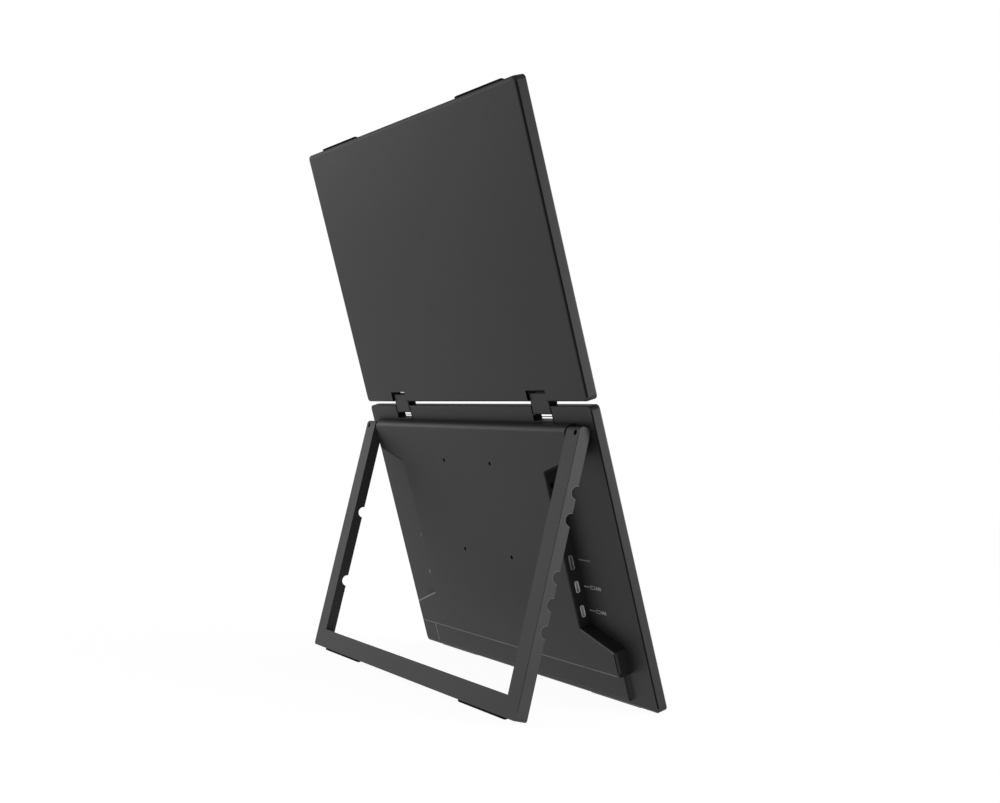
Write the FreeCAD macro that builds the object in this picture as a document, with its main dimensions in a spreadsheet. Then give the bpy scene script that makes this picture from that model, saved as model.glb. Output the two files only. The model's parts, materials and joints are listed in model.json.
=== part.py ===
"""Stacked two-screen portable monitor: two hinged display panels on a folding frame stand.

Frame: +Z up, X to the viewer's right, screens facing -Y, the origin on the table under the hinge.
Everything on the panels is drawn upright about the middle of the hinge, then leaned back as one.
The stand is drawn upright about its own pivot.
"""
import FreeCAD, Part
import Sketcher
import math
import os

# Driving sizes in millimetres, angles in degrees
SIZES = {
    # Display panels
    "panel_width": 355.0,
    "panel_height": 221.5,
    "slab_depth": 7.5,
    "panel_gap": 3.6,
    "corner_radius": 3.5,
    "upper_edge_radius": 1.8,
    "lower_edge_radius": 0.8,
    "upper_back_rise": 1.4,
    "bezel_edge_radius": 0.6,
    "shell_wall": 1.2,
    "back_wall": 1.6,
    "bezel_depth": 1.0,
    # Display stack inside each panel
    "side_border": 5.4,
    "far_border": 7.0,
    "chin_border": 20.9,
    "cell_side_border": 2.0,
    "cell_chin_border": 6.0,
    "cell_depth": 1.2,
    "film_depth": 0.6,
    "tray_depth": 0.9,
    "panel_board_end_gap": 18.8,
    "panel_board_height": 9.0,
    "panel_board_depth": 0.8,
    "panel_board_inset": 2.0,
    "panel_chip_length": 9.0,
    "panel_chip_height": 5.0,
    "panel_chip_depth": 0.8,
    # Link hinges
    "hinge_inset": 65.0,
    "hinge_spacing": 10.5,
    "hinge_pin_diameter": 3.2,
    "hinge_pin_tail": 2.5,
    "notch_width": 26.4,
    "upper_notch_depth": 8.6,
    "lower_notch_depth": 11.0,
    "block_height": 16.2,
    "block_depth": 7.1,
    "block_edge_radius": 1.2,
    "washer_diameter": 6.2,
    "washer_thickness": 0.5,
    "washer_clearance": 0.1,
    "washer_wall_gap": 0.1,
    "running_clearance": 0.05,
    "seat_clearance": 0.02,
    "pass_clearance": 0.3,
    "bracket_length": 30.0,
    "bracket_height": 9.6,
    "bracket_plate": 1.2,
    "bracket_gap": 0.15,
    "knuckle_length": 8.0,
    "knuckle_height": 5.2,
    "bracket_screw_diameter": 2.0,
    "bracket_screw_head_diameter": 3.6,
    "bracket_screw_head_height": 0.7,
    "bracket_screw_grip": 1.0,
    "bracket_screw_pitch": 12.0,
    # Raised housing on the lower panel: tops measured from the hinge edge, rises from the far edge
    "housing_height": 10.5,
    "leg_clearance": 2.2,
    "waist_inset": 39.0,
    "housing_top": 11.8,
    "upper_shoulder_top": 35.7,
    "upper_shoulder_bottom": 46.7,
    "lower_shoulder_top_rise": 57.5,
    "lower_shoulder_bottom_rise": 44.8,
    "housing_bottom_rise": 26.0,
    "housing_wall": 2.4,
    "housing_roof": 1.6,
    "housing_top_margin": 4.6,
    "housing_top_radius": 6.0,
    "housing_edge_radius": 1.0,
    "ledge_inset": 6.5,
    "ledge_bottom_rise": 4.8,
    "ledge_height": 3.0,
    "ledge_edge_radius": 0.6,
    # Mounting pattern
    "mount_pitch": 75.0,
    "mount_centre": 80.1,
    "insert_diameter": 6.0,
    "insert_bore": 3.3,
    "insert_length": 6.0,
    "mount_boss_diameter": 10.0,
    "mount_boss_floor": 1.0,
    # Main board and what stands on it
    "board_top_clearance": 6.3,
    "board_bottom_clearance": 4.0,
    "board_thickness": 1.6,
    "board_lift": 1.4,
    "board_side_clearance": 0.4,
    "board_post_side": 20.1,
    "board_post_inset": 6.0,
    "board_post_diameter": 6.0,
    "board_screw_diameter": 2.5,
    "board_screw_grip": 3.5,
    "board_screw_head_diameter": 4.5,
    "board_screw_head_height": 1.0,
    "chip_size": 16.0,
    "chip_depth": 1.4,
    "chip_pitch": 30.0,
    "port_depth": 7.6,
    "port_recess": 0.3,
    "port_shell": 0.4,
    "port_clearance": 0.15,
    "port_cavity": 6.0,
    "tongue_reach": 4.6,
    "tongue_thickness": 0.7,
    "data_port_width": 8.9,
    "data_port_height": 3.2,
    "video_port_width": 11.2,
    "video_port_height": 3.4,
    "jack_side": 5.0,
    "jack_bore": 3.5,
    "jack_depth": 11.0,
    # Controls on the other waist wall
    "button_length": 10.0,
    "rocker_length": 16.0,
    "button_thickness": 3.2,
    "button_proud": 0.9,
    "button_flange": 1.0,
    "button_flange_thickness": 1.0,
    "button_flange_gap": 0.1,
    "button_clearance": 0.3,
    "button_travel": 0.5,
    "button_edge_radius": 0.5,
    "stem_diameter": 2.4,
    "stem_length": 1.4,
    "rocker_pin_diameter": 1.4,
    "rocker_pin_reach": 1.2,
    "rocker_travel": 0.5,
    "rocker_switch_pitch": 12.0,
    "switch_length": 5.0,
    "switch_height": 3.4,
    "switch_depth": 2.6,
    "light_diameter": 2.2,
    "light_tail": 3.6,
    # Speakers in the housing's lower wings
    "speaker_length": 30.0,
    "speaker_height": 12.0,
    "speaker_depth": 6.0,
    "speaker_inset": 21.5,
    "speaker_rim": 1.2,
    "speaker_cone_depth": 1.0,
    "speaker_edge_radius": 2.0,
    "sound_slot_width": 1.6,
    "sound_slot_height": 3.6,
    "sound_slot_pitch": 5.0,
    # Frame stand, places along the leg measured from the pivot
    "stand_opening_angle": 29.8,
    "stand_side_inset": 5.0,
    "stand_depth": 8.8,
    "leg_back_width": 16.8,
    "leg_front_width": 16.2,
    "leg_head": 6.3,
    "head_radius": 3.2,
    "bar_clearance": 3.1,
    "bar_back_height": 15.0,
    "bar_front_height": 13.0,
    "bar_relief": 2.2,
    "relief_clearance": 2.0,
    "stand_corner_radius": 2.5,
    "leg_notch_radius": 4.5,
    "stand_pivot_inset": 2.5,
    "stand_pivot_depth": 1.9,
    "stand_pin_diameter": 2.8,
    "stand_pin_cover": 2.6,
    "bush_diameter": 5.2,
    "bush_length": 12.0,
    "stand_bracket_length": 9.0,
    "stand_bracket_height": 11.0,
    "stand_bracket_depth": 5.0,
    "stand_screw_diameter": 4.0,
    "stand_screw_length": 1.6,
    "stand_screw_rise": 1.6,
    "stand_screw_inset": 5.0,
    # Rubber feet and bumpers
    "pad_length": 62.0,
    "pad_inset": 57.5,
    "pad_width": 5.0,
    "pad_proud": 2.1,
    "pad_crown_radius": 4.5,
    "pad_offset": -0.7,
    # How far cuts run past what they cut
    "overrun": 1.0,
}

# Places down the housing's waist, as shares of its length
PORT_NAMES = ["audio_jack", "data_port_c", "video_port", "data_port_a", "data_port_b"]
PORT_SHARES = [0.0904, 0.2506, 0.5882, 0.746, 0.9045]
CONTROL_NAMES = ["menu_rocker", "power_button"]
CONTROL_SHARES = [0.4, 0.9173]
STATUS_LIGHT_SHARE = 0.6044
PANEL_CHIP_SHARES = [-0.55, 0, 0.55]

SHEET_NAME = "Sizes"
PLANE_NORMALS = {"XY_Plane": 1, "XZ_Plane": -1, "YZ_Plane": 1}
SIDES = {"left": -1, "right": 1}
LOWER = -1
UPPER = 1
PANEL_NAMES = {LOWER: "lower", UPPER: "upper"}
TOLERANCE = 1e-4

doc = FreeCAD.newDocument("portable_monitor")
sheet = doc.addObject("Spreadsheet::Sheet", SHEET_NAME)
for row, (alias, number) in enumerate(SIZES.items(), start=1):
    sheet.set(f"A{row}", alias)
    sheet.set(f"B{row}", str(number))
    sheet.setAlias(f"B{row}", alias)
doc.recompute()


class Size:
    """A number together with the spreadsheet expression that gives it."""

    def __init__(self, text, value):
        self.text = text
        self.value = value

    def __add__(self, other):
        other = as_size(other)
        return Size(f"({self.text} + {other.text})", self.value + other.value)

    def __sub__(self, other):
        other = as_size(other)
        return Size(f"({self.text} - {other.text})", self.value - other.value)

    def __mul__(self, share):
        return Size(f"({self.text} * {share})", self.value * share)

    def __truediv__(self, share):
        return Size(f"({self.text} / {share})", self.value / share)

    def __neg__(self):
        return self * -1

    __rmul__ = __mul__


def as_size(number):
    if isinstance(number, Size):
        return number
    return Size(str(number), number)


def size(alias):
    """The value of one cell of the sheet."""
    return Size(f"{SHEET_NAME}.{alias}", float(sheet.get(alias)))


def root_of_difference(long_side, short_side):
    """The third side of a right triangle with this longest side."""
    text = f"sqrt({long_side.text}^2 - {short_side.text}^2)"
    return Size(text, math.sqrt(long_side.value ** 2 - short_side.value ** 2))


ZERO = as_size(0)
OVERRUN = size("overrun")
HALF_DEPTH = size("slab_depth") / 2
PANEL_HALF = size("panel_width") / 2
SEAM = size("bezel_depth") - HALF_DEPTH
FLOOR = HALF_DEPTH - size("back_wall")
BACK_FACES = {LOWER: HALF_DEPTH, UPPER: HALF_DEPTH + size("upper_back_rise")}
HOUSING_FACE = HALF_DEPTH + size("housing_height")
HOUSING_ROOF = HOUSING_FACE - size("housing_roof")
ROOM_TOP = size("housing_top") + size("housing_top_margin")
BOARD_FRONT = HALF_DEPTH + size("board_lift")
BOARD_BACK = BOARD_FRONT + size("board_thickness")
STAND_HALF = PANEL_HALF - size("stand_side_inset")
WING_HALF = STAND_HALF - size("leg_back_width") - size("leg_clearance")
WAIST_HALF = WING_HALF - size("waist_inset")
LEDGE_HALF = WING_HALF - size("ledge_inset")
WAIST_INSIDE = WAIST_HALF - size("housing_wall")
ROCKER_INSIDE = WAIST_INSIDE - size("button_flange_gap")
ROCKER_AXIS = WAIST_HALF - size("housing_wall") / 2
PIVOT_DROP = ROOM_TOP + size("stand_pivot_inset")
PIVOT_Y = HOUSING_ROOF - size("stand_pivot_depth")
STAND_BACK = size("stand_depth") / 2
HINGE_OFFSET = PANEL_HALF - size("hinge_inset")
WASHER_STOP = size("notch_width") / 2 - size("washer_wall_gap")
WASHER_START = WASHER_STOP - size("washer_thickness")
BLOCK_HALF = WASHER_START - size("washer_clearance")
LOWER_SHOULDER_TOP = size("panel_height") - size("lower_shoulder_top_rise")
LOWER_SHOULDER_BOTTOM = size("panel_height") - size("lower_shoulder_bottom_rise")
HOUSING_BOTTOM = size("panel_height") - size("housing_bottom_rise")
BOARD_TOP = size("upper_shoulder_bottom") + size("board_top_clearance")
BOARD_BOTTOM = LOWER_SHOULDER_TOP - size("board_bottom_clearance")
LEG_LENGTH = HOUSING_BOTTOM + size("bar_clearance") + size("bar_back_height") - PIVOT_DROP


def along(panel, distance):
    """Height, about the hinge, of a point on a panel this far from its hinge edge."""
    return (size("panel_gap") / 2 + distance) * panel


def waist_height(share):
    """Height, about the hinge, of a place this share of the way down the housing's waist."""
    length = LOWER_SHOULDER_TOP - size("upper_shoulder_bottom")
    return along(LOWER, size("upper_shoulder_bottom") + length * share)


PORT_HEIGHTS = {label: waist_height(share) for label, share in zip(PORT_NAMES, PORT_SHARES)}
CONTROL_HEIGHTS = {label: waist_height(share) for label, share in zip(CONTROL_NAMES, CONTROL_SHARES)}
STATUS_LIGHT_HEIGHT = waist_height(STATUS_LIGHT_SHARE)


def hinge_axis(panel):
    """Height of a panel's own hinge axis."""
    return size("hinge_spacing") / 2 * panel


# The three drawing frames
def panel_lean():
    """Lean that stands the panel's feet and the stand's feet on one plane, and the hinge's height."""
    crown_drop = size("pad_proud").value - size("pad_crown_radius").value
    foot_down = size("panel_gap").value / 2 + size("panel_height").value + crown_drop
    foot_back = size("pad_offset").value
    opening = math.radians(size("stand_opening_angle").value)
    reach = LEG_LENGTH.value + crown_drop
    stand_down = -along(LOWER, PIVOT_DROP).value + reach * math.cos(opening)
    stand_back = PIVOT_Y.value + reach * math.sin(opening)
    lean = math.atan2(foot_down - stand_down, stand_back - foot_back)
    height = foot_down * math.cos(lean) + foot_back * math.sin(lean) + size("pad_crown_radius").value
    return math.degrees(lean), height


def panel_frame():
    """Leans the panels back, with the whole object centred front to back over the origin."""
    lean, height = panel_lean()
    radius_difference = size("upper_edge_radius").value - size("bezel_edge_radius").value
    turn = math.radians(lean)
    rounding = radius_difference * (math.sin(turn) + math.cos(turn) - 1)
    shift = (rounding - size("upper_back_rise").value * math.cos(turn)) / 2
    rotation = FreeCAD.Rotation(FreeCAD.Vector(1, 0, 0), -lean)
    return FreeCAD.Placement(FreeCAD.Vector(0, shift, height), rotation)


def stand_frame_placement():
    """Puts the stand's pivot on the housing and opens the stand."""
    pivot = FreeCAD.Vector(0, PIVOT_Y.value, along(LOWER, PIVOT_DROP).value)
    opening = FreeCAD.Rotation(FreeCAD.Vector(1, 0, 0), size("stand_opening_angle").value)
    return PANEL_FRAME.multiply(FreeCAD.Placement(pivot, opening))


PANEL_FRAME = panel_frame()
STAND_FRAME = stand_frame_placement()


# Sketch and feature helpers
def new_body(label, frame):
    body = doc.addObject("PartDesign::Body", label)
    body.Label = label
    body.Placement = frame
    return body


def bind(sketch, kind, geometry, point, value):
    """Ties one coordinate of a sketch point to an expression."""
    index = sketch.addConstraint(Sketcher.Constraint(kind, -1, 1, geometry, point, value.value))
    sketch.setExpression(f"Constraints[{index}]", value.text)


def bind_point(sketch, geometry, point, place):
    bind(sketch, "DistanceX", geometry, point, place[0])
    bind(sketch, "DistanceY", geometry, point, place[1])


def bind_radius(sketch, geometry, radius):
    index = sketch.addConstraint(Sketcher.Constraint("Radius", geometry, radius.value))
    sketch.setExpression(f"Constraints[{index}]", radius.text)


def vector(place):
    return FreeCAD.Vector(place[0].value, place[1].value, 0)


def polygon(points):
    """A closed outline of straight lines."""
    def draw(sketch):
        first = sketch.GeometryCount
        count = len(points)
        for index, point in enumerate(points):
            following = points[(index + 1) % count]
            sketch.addGeometry(Part.LineSegment(vector(point), vector(following)), False)
        for index, point in enumerate(points):
            following = first + (index + 1) % count
            sketch.addConstraint(Sketcher.Constraint("Coincident", first + index, 2, following, 1))
            bind_point(sketch, first + index, 1, point)
    return draw


def rectangle(low, high):
    return polygon([low, (high[0], low[1]), high, (low[0], high[1])])


def circle(centre, radius):
    def draw(sketch):
        index = sketch.addGeometry(Part.Circle(vector(centre), FreeCAD.Vector(0, 0, 1), radius.value), False)
        bind_point(sketch, index, 3, centre)
        bind_radius(sketch, index, radius)
    return draw


def new_sketch(body, role, start, outlines):
    """A sketch across one of the body's own planes, at a height along that plane's axis."""
    sketch = body.newObject("Sketcher::SketchObject", "Sketch")
    plane = next(item for item in body.Origin.OriginFeatures if item.Role == role)
    offset = start * PLANE_NORMALS[role]
    sketch.AttachmentSupport = [(plane, "")]
    sketch.MapMode = "FlatFace"
    sketch.AttachmentOffset = FreeCAD.Placement(FreeCAD.Vector(0, 0, offset.value), FreeCAD.Rotation())
    sketch.setExpression("AttachmentOffset.Base.z", offset.text)
    for draw in outlines:
        draw(sketch)
    return sketch


def extrude(body, kind, role, start, stop, outlines):
    """A pad or pocket from start to stop along the plane's axis, whichever way that runs."""
    feature = body.newObject(f"PartDesign::{kind}", kind)
    feature.Profile = new_sketch(body, role, start, outlines)
    forward = (stop.value > start.value) == (PLANE_NORMALS[role] > 0)
    feature.Reversed = forward if kind == "Pocket" else not forward
    length = stop - start if stop.value > start.value else start - stop
    feature.setExpression("Length", length.text)
    body.Tip = feature
    return feature


def pad(body, role, start, stop, outlines):
    return extrude(body, "Pad", role, start, stop, outlines)


def pocket(body, role, start, stop, outlines):
    return extrude(body, "Pocket", role, start, stop, outlines)


def round_edges(body, radius, wanted):
    """A fillet on every edge of the body so far that the test accepts."""
    doc.recompute()
    base = body.Tip
    names = [f"Edge{index}" for index, edge in enumerate(base.Shape.Edges, start=1) if wanted(edge)]
    feature = body.newObject("PartDesign::Fillet", "Fillet")
    feature.Base = (base, names)
    feature.setExpression("Radius", radius.text)
    body.Tip = feature
    return feature


def near(first, second):
    return abs(first - second) < TOLERANCE


def runs_along(edge, axis):
    """True for a straight edge parallel to an axis, 0 for x, 1 for y, 2 for z."""
    box = edge.BoundBox
    spans = [box.XLength, box.YLength, box.ZLength]
    return all(near(span, 0) == (index != axis) for index, span in enumerate(spans))


def middle(edge):
    return edge.valueAt((edge.FirstParameter + edge.LastParameter) / 2)


def lies_at_depth(edge, depth):
    """True for an edge that lies wholly in the plane y = depth."""
    return near(edge.BoundBox.YMin, depth.value) and near(edge.BoundBox.YMax, depth.value)


# Outlines that several pieces share
def notched_outline(panel, inset):
    """The panel's outline with its two hinge notches, drawn in by a wall."""
    half = PANEL_HALF - inset
    near_edge = along(panel, inset)
    far_edge = along(panel, size("panel_height") - inset)
    notch_floor = along(panel, size(f"{PANEL_NAMES[panel]}_notch_depth") + inset)
    reach_in = HINGE_OFFSET - size("notch_width") / 2 - inset
    reach_out = HINGE_OFFSET + size("notch_width") / 2 + inset
    right_half = [(reach_in, near_edge), (reach_in, notch_floor), (reach_out, notch_floor),
                  (reach_out, near_edge), (half, near_edge), (half, far_edge)]
    left_half = [(-across, height) for across, height in reversed(right_half)]
    return polygon(right_half + left_half)


def housing_outline(wall, top_margin):
    """The raised housing's outline: two wide ends and a narrower waist, drawn in by a wall."""
    wide = WING_HALF - wall
    waist = WAIST_HALF - wall
    right_half = [(wide, size("housing_top") + top_margin), (wide, size("upper_shoulder_top") - wall),
                  (waist, size("upper_shoulder_bottom") - wall), (waist, LOWER_SHOULDER_TOP + wall),
                  (wide, LOWER_SHOULDER_BOTTOM + wall), (wide, HOUSING_BOTTOM - wall)]
    left_half = [(-across, distance) for across, distance in reversed(right_half)]
    return polygon([(across, along(LOWER, distance)) for across, distance in right_half + left_half])


def mount_points():
    step = size("mount_pitch") / 2
    return [(step * across, along(LOWER, size("mount_centre") + step * down))
            for across in (-1, 1) for down in (-1, 1)]


def board_post_points():
    across = WAIST_INSIDE - size("board_post_side")
    rows = [BOARD_TOP + size("board_post_inset"), BOARD_BOTTOM - size("board_post_inset")]
    return [(across * side, along(LOWER, row)) for side in SIDES.values() for row in rows]


def bracket_start():
    """Where a hinge bracket begins, beside the notch's outer wall."""
    return HINGE_OFFSET + size("notch_width") / 2 + size("shell_wall") + size("bracket_gap")


def bracket_screw_points(panel):
    middle_height = size("shell_wall") + size("bracket_gap") + size("bracket_height") / 2
    first = bracket_start() + size("bracket_length") - size("bracket_screw_pitch") * 1.5
    return [((first + size("bracket_screw_pitch") * step) * side, along(panel, middle_height))
            for side in SIDES.values() for step in (0, 1)]


def sound_slot_centres():
    return [(WING_HALF - size("speaker_inset") + size("sound_slot_pitch") * step) * side
            for side in SIDES.values() for step in (-2, -1, 0, 1, 2)]


# Panel shells
def is_panel_corner(edge):
    return runs_along(edge, 1) and near(abs(middle(edge).x), PANEL_HALF.value)


def is_outer_rim(panel, depth):
    """Test for the outer rim of a panel at one depth, without the hinge notches."""
    low, high = sorted([along(panel, ZERO).value, along(panel, size("panel_height")).value])
    corner = size("corner_radius").value

    def wanted(edge):
        place = middle(edge)
        on_side = abs(place.x) > PANEL_HALF.value - corner
        on_end = place.z < low + TOLERANCE or place.z > high - TOLERANCE
        return lies_at_depth(edge, depth) and (on_side or on_end)
    return wanted


def make_back_cover(panel):
    body = new_body(f"{PANEL_NAMES[panel]}_back_cover", PANEL_FRAME)
    pad(body, "XZ_Plane", SEAM, BACK_FACES[panel], [notched_outline(panel, ZERO)])
    round_edges(body, size("corner_radius"), is_panel_corner)
    round_edges(body, size(f"{PANEL_NAMES[panel]}_edge_radius"), is_outer_rim(panel, BACK_FACES[panel]))
    if panel == LOWER:
        add_housing(body)
    pocket(body, "XZ_Plane", SEAM, FLOOR, [notched_outline(panel, size("shell_wall"))])
    if panel == LOWER:
        hollow_housing(body)
    cut_pin_passages(body, panel)
    pilots = [circle(point, size("bracket_screw_diameter") / 2) for point in bracket_screw_points(panel)]
    pocket(body, "XZ_Plane", FLOOR, FLOOR + size("bracket_screw_grip"), pilots)
    return body


def add_housing(body):
    """The raised housing and the low ledge below it."""
    pad(body, "XZ_Plane", HALF_DEPTH, HOUSING_FACE, [housing_outline(ZERO, ZERO)])
    top = along(LOWER, size("housing_top")).value
    upper_wing_end = along(LOWER, size("upper_shoulder_top")).value

    def is_top_edge(edge):
        return runs_along(edge, 0) and lies_at_depth(edge, HOUSING_FACE) and near(middle(edge).z, top)

    def is_low_rim(edge):
        return lies_at_depth(edge, HOUSING_FACE) and middle(edge).z < upper_wing_end

    round_edges(body, size("housing_top_radius"), is_top_edge)
    round_edges(body, size("housing_edge_radius"), is_low_rim)
    low = (-LEDGE_HALF, along(LOWER, size("panel_height") - size("ledge_bottom_rise")))
    high = (LEDGE_HALF, along(LOWER, HOUSING_BOTTOM))
    ledge_face = HALF_DEPTH + size("ledge_height")
    pad(body, "XZ_Plane", HALF_DEPTH, ledge_face, [rectangle(low, high)])

    def is_ledge_rim(edge):
        return lies_at_depth(edge, ledge_face) and middle(edge).z < high[1].value - TOLERANCE

    round_edges(body, size("ledge_edge_radius"), is_ledge_rim)


def hollow_housing(body):
    """The room in the housing, its bosses and posts, and every opening in its walls."""
    inside = housing_outline(size("housing_wall"), size("housing_top_margin") - size("housing_wall"))
    pocket(body, "XZ_Plane", FLOOR, HOUSING_ROOF, [inside])
    boss_end = HOUSING_FACE - size("insert_length") - size("mount_boss_floor")
    bosses = [circle(point, size("mount_boss_diameter") / 2) for point in mount_points()]
    pad(body, "XZ_Plane", boss_end, HOUSING_ROOF, bosses)
    posts = [circle(point, size("board_post_diameter") / 2) for point in board_post_points()]
    pad(body, "XZ_Plane", BOARD_BACK, HOUSING_ROOF, posts)
    seats = [circle(point, size("insert_diameter") / 2) for point in mount_points()]
    pocket(body, "XZ_Plane", HOUSING_FACE - size("insert_length"), HOUSING_FACE + OVERRUN, seats)
    pilots = [circle(point, size("board_screw_diameter") / 2) for point in board_post_points()]
    pocket(body, "XZ_Plane", BOARD_BACK, BOARD_BACK + size("board_screw_grip"), pilots)
    cut_wall_openings(body)


def port_box(label, width, height, margin):
    """A port's rectangle on the waist wall, standing on the main board."""
    centre = PORT_HEIGHTS[label]
    low = (BOARD_BACK - margin, centre - width / 2 - margin)
    high = (BOARD_BACK + height + margin, centre + width / 2 + margin)
    return rectangle(low, high)


def port_sizes(label):
    if label == "audio_jack":
        return size("jack_side"), size("jack_side")
    kind = "video" if label == "video_port" else "data"
    return size(f"{kind}_port_width"), size(f"{kind}_port_height")


def control_middle():
    """Depth of the middle of the controls on the waist wall."""
    return BOARD_BACK + size("button_clearance") + size("button_thickness") / 2


def rocker_pin_half():
    """Half the length of the rocker's pin, which stands out on both sides."""
    return size("button_thickness") / 2 + size("rocker_pin_reach")


def control_box(label, margin):
    centre = CONTROL_HEIGHTS[label]
    length = size("rocker_length") if label == "menu_rocker" else size("button_length")
    half_length = length / 2 + margin
    half_thickness = size("button_thickness") / 2 + margin
    return rectangle((control_middle() - half_thickness, centre - half_length),
                     (control_middle() + half_thickness, centre + half_length))


def cut_wall_openings(body):
    wall_inside = WAIST_INSIDE - OVERRUN
    wall_outside = WAIST_HALF + OVERRUN
    ports = [port_box(label, *port_sizes(label), size("port_clearance")) for label in PORT_NAMES]
    pocket(body, "YZ_Plane", -wall_outside, -wall_inside, ports)
    controls = [control_box(label, size("button_clearance")) for label in CONTROL_NAMES]
    light = circle((control_middle(), STATUS_LIGHT_HEIGHT),
                   size("light_diameter") / 2 + size("running_clearance"))
    pocket(body, "YZ_Plane", wall_inside, wall_outside, controls + [light])
    rocker_seat = circle((ROCKER_AXIS, CONTROL_HEIGHTS["menu_rocker"]),
                         size("rocker_pin_diameter") / 2 + size("running_clearance"))
    seat_half = rocker_pin_half() + size("pass_clearance")
    pocket(body, "XZ_Plane", control_middle() - seat_half, control_middle() + seat_half, [rocker_seat])
    pivot = (PIVOT_Y, along(LOWER, PIVOT_DROP))
    pin_hole = circle(pivot, size("stand_pin_diameter") / 2 + size("seat_clearance"))
    for side in SIDES.values():
        start = (WING_HALF - size("housing_wall") - OVERRUN) * side
        pocket(body, "YZ_Plane", start, (WING_HALF + OVERRUN) * side, [pin_hole])
    slot_low = HALF_DEPTH + size("ledge_height") + size("sound_slot_width")
    slot_high = slot_low + size("sound_slot_height")
    half_slot = size("sound_slot_width") / 2
    slots = [rectangle((centre - half_slot, slot_low), (centre + half_slot, slot_high))
             for centre in sound_slot_centres()]
    wall_low = along(LOWER, HOUSING_BOTTOM + OVERRUN)
    wall_high = along(LOWER, HOUSING_BOTTOM - size("housing_wall") - OVERRUN)
    pocket(body, "XY_Plane", wall_low, wall_high, slots)


def cut_pin_passages(body, panel):
    """Holes for the hinge pins through the walls on both sides of each notch."""
    hole = circle((ZERO, hinge_axis(panel)), size("hinge_pin_diameter") / 2 + size("pass_clearance"))
    reach = size("notch_width") / 2 + size("shell_wall") + OVERRUN
    for side in SIDES.values():
        centre = HINGE_OFFSET * side
        pocket(body, "YZ_Plane", centre - reach, centre + reach, [hole])


def active_area():
    """Half width of the picture area, and where it starts and stops from the hinge edge."""
    return PANEL_HALF - size("side_border"), size("chin_border"), size("panel_height") - size("far_border")


def make_bezel(panel):
    body = new_body(f"{PANEL_NAMES[panel]}_bezel", PANEL_FRAME)
    pad(body, "XZ_Plane", -HALF_DEPTH, SEAM, [notched_outline(panel, ZERO)])
    round_edges(body, size("corner_radius"), is_panel_corner)
    round_edges(body, size("bezel_edge_radius"), is_outer_rim(panel, -HALF_DEPTH))
    half, start, stop = active_area()
    window = rectangle((-half, along(panel, start)), (half, along(panel, stop)))
    pocket(body, "XZ_Plane", -HALF_DEPTH - OVERRUN, SEAM + OVERRUN, [window])
    return body


def make_display_stack(panel):
    """Cell, films, light guide and tray, one behind the other, from the bezel to the back wall."""
    half, start, stop = active_area()
    side = size("cell_side_border")
    outline = rectangle((-half - side, along(panel, start - size("cell_chin_border"))),
                        (half + side, along(panel, stop + side)))
    cell_back = SEAM + size("cell_depth")
    film_back = cell_back + size("film_depth")
    tray_front = FLOOR - size("tray_depth")
    layers = {"lcd_cell": (SEAM, cell_back), "film_stack": (cell_back, film_back),
              "light_guide": (film_back, tray_front), "rear_tray": (tray_front, FLOOR)}
    for name, (front, back) in layers.items():
        body = new_body(f"{PANEL_NAMES[panel]}_{name}", PANEL_FRAME)
        pad(body, "XZ_Plane", front, back, [outline])


def make_panel_board(panel):
    """The display's driver board, on the back wall between the two hinges."""
    body = new_body(f"{PANEL_NAMES[panel]}_panel_board", PANEL_FRAME)
    half = HINGE_OFFSET - size("notch_width") / 2 - size("hinge_pin_tail") - size("panel_board_end_gap")
    start = size("panel_board_inset")
    stop = start + size("panel_board_height")
    front = FLOOR - size("panel_board_depth")
    outline = rectangle((-half, along(panel, start)), (half, along(panel, stop)))
    pad(body, "XZ_Plane", front, FLOOR, [outline])
    half_chip = size("panel_chip_length") / 2
    chip_start = start + (size("panel_board_height") - size("panel_chip_height")) / 2
    chip_stop = chip_start + size("panel_chip_height")
    centres = [half * share for share in PANEL_CHIP_SHARES]
    chips = [rectangle((centre - half_chip, along(panel, chip_start)),
                       (centre + half_chip, along(panel, chip_stop))) for centre in centres]
    pad(body, "XZ_Plane", front - size("panel_chip_depth"), front, chips)


# Link hinges
def make_link_block(side_name):
    """The block that joins both hinge pins on one side."""
    body = new_body(f"{side_name}_link_block", PANEL_FRAME)
    centre = HINGE_OFFSET * SIDES[side_name]
    half_height = size("block_height") / 2
    half_depth = size("block_depth") / 2
    section = rectangle((-half_depth, -half_height), (half_depth, half_height))
    bore_radius = size("hinge_pin_diameter") / 2 + size("running_clearance")
    bores = [circle((ZERO, hinge_axis(panel)), bore_radius) for panel in (LOWER, UPPER)]
    pad(body, "YZ_Plane", centre - BLOCK_HALF, centre + BLOCK_HALF, [section])
    round_edges(body, size("block_edge_radius"), lambda edge: not runs_along(edge, 1))
    pocket(body, "YZ_Plane", centre - BLOCK_HALF - OVERRUN, centre + BLOCK_HALF + OVERRUN, bores)


def make_hinge_pin(panel, side_name):
    body = new_body(f"{PANEL_NAMES[panel]}_{side_name}_hinge_pin", PANEL_FRAME)
    side = SIDES[side_name]
    notch_half = size("notch_width") / 2
    inner = HINGE_OFFSET - notch_half - size("shell_wall") - size("hinge_pin_tail")
    outer = bracket_start() + size("knuckle_length")
    pad(body, "YZ_Plane", inner * side, outer * side,
        [circle((ZERO, hinge_axis(panel)), size("hinge_pin_diameter") / 2)])


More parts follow.
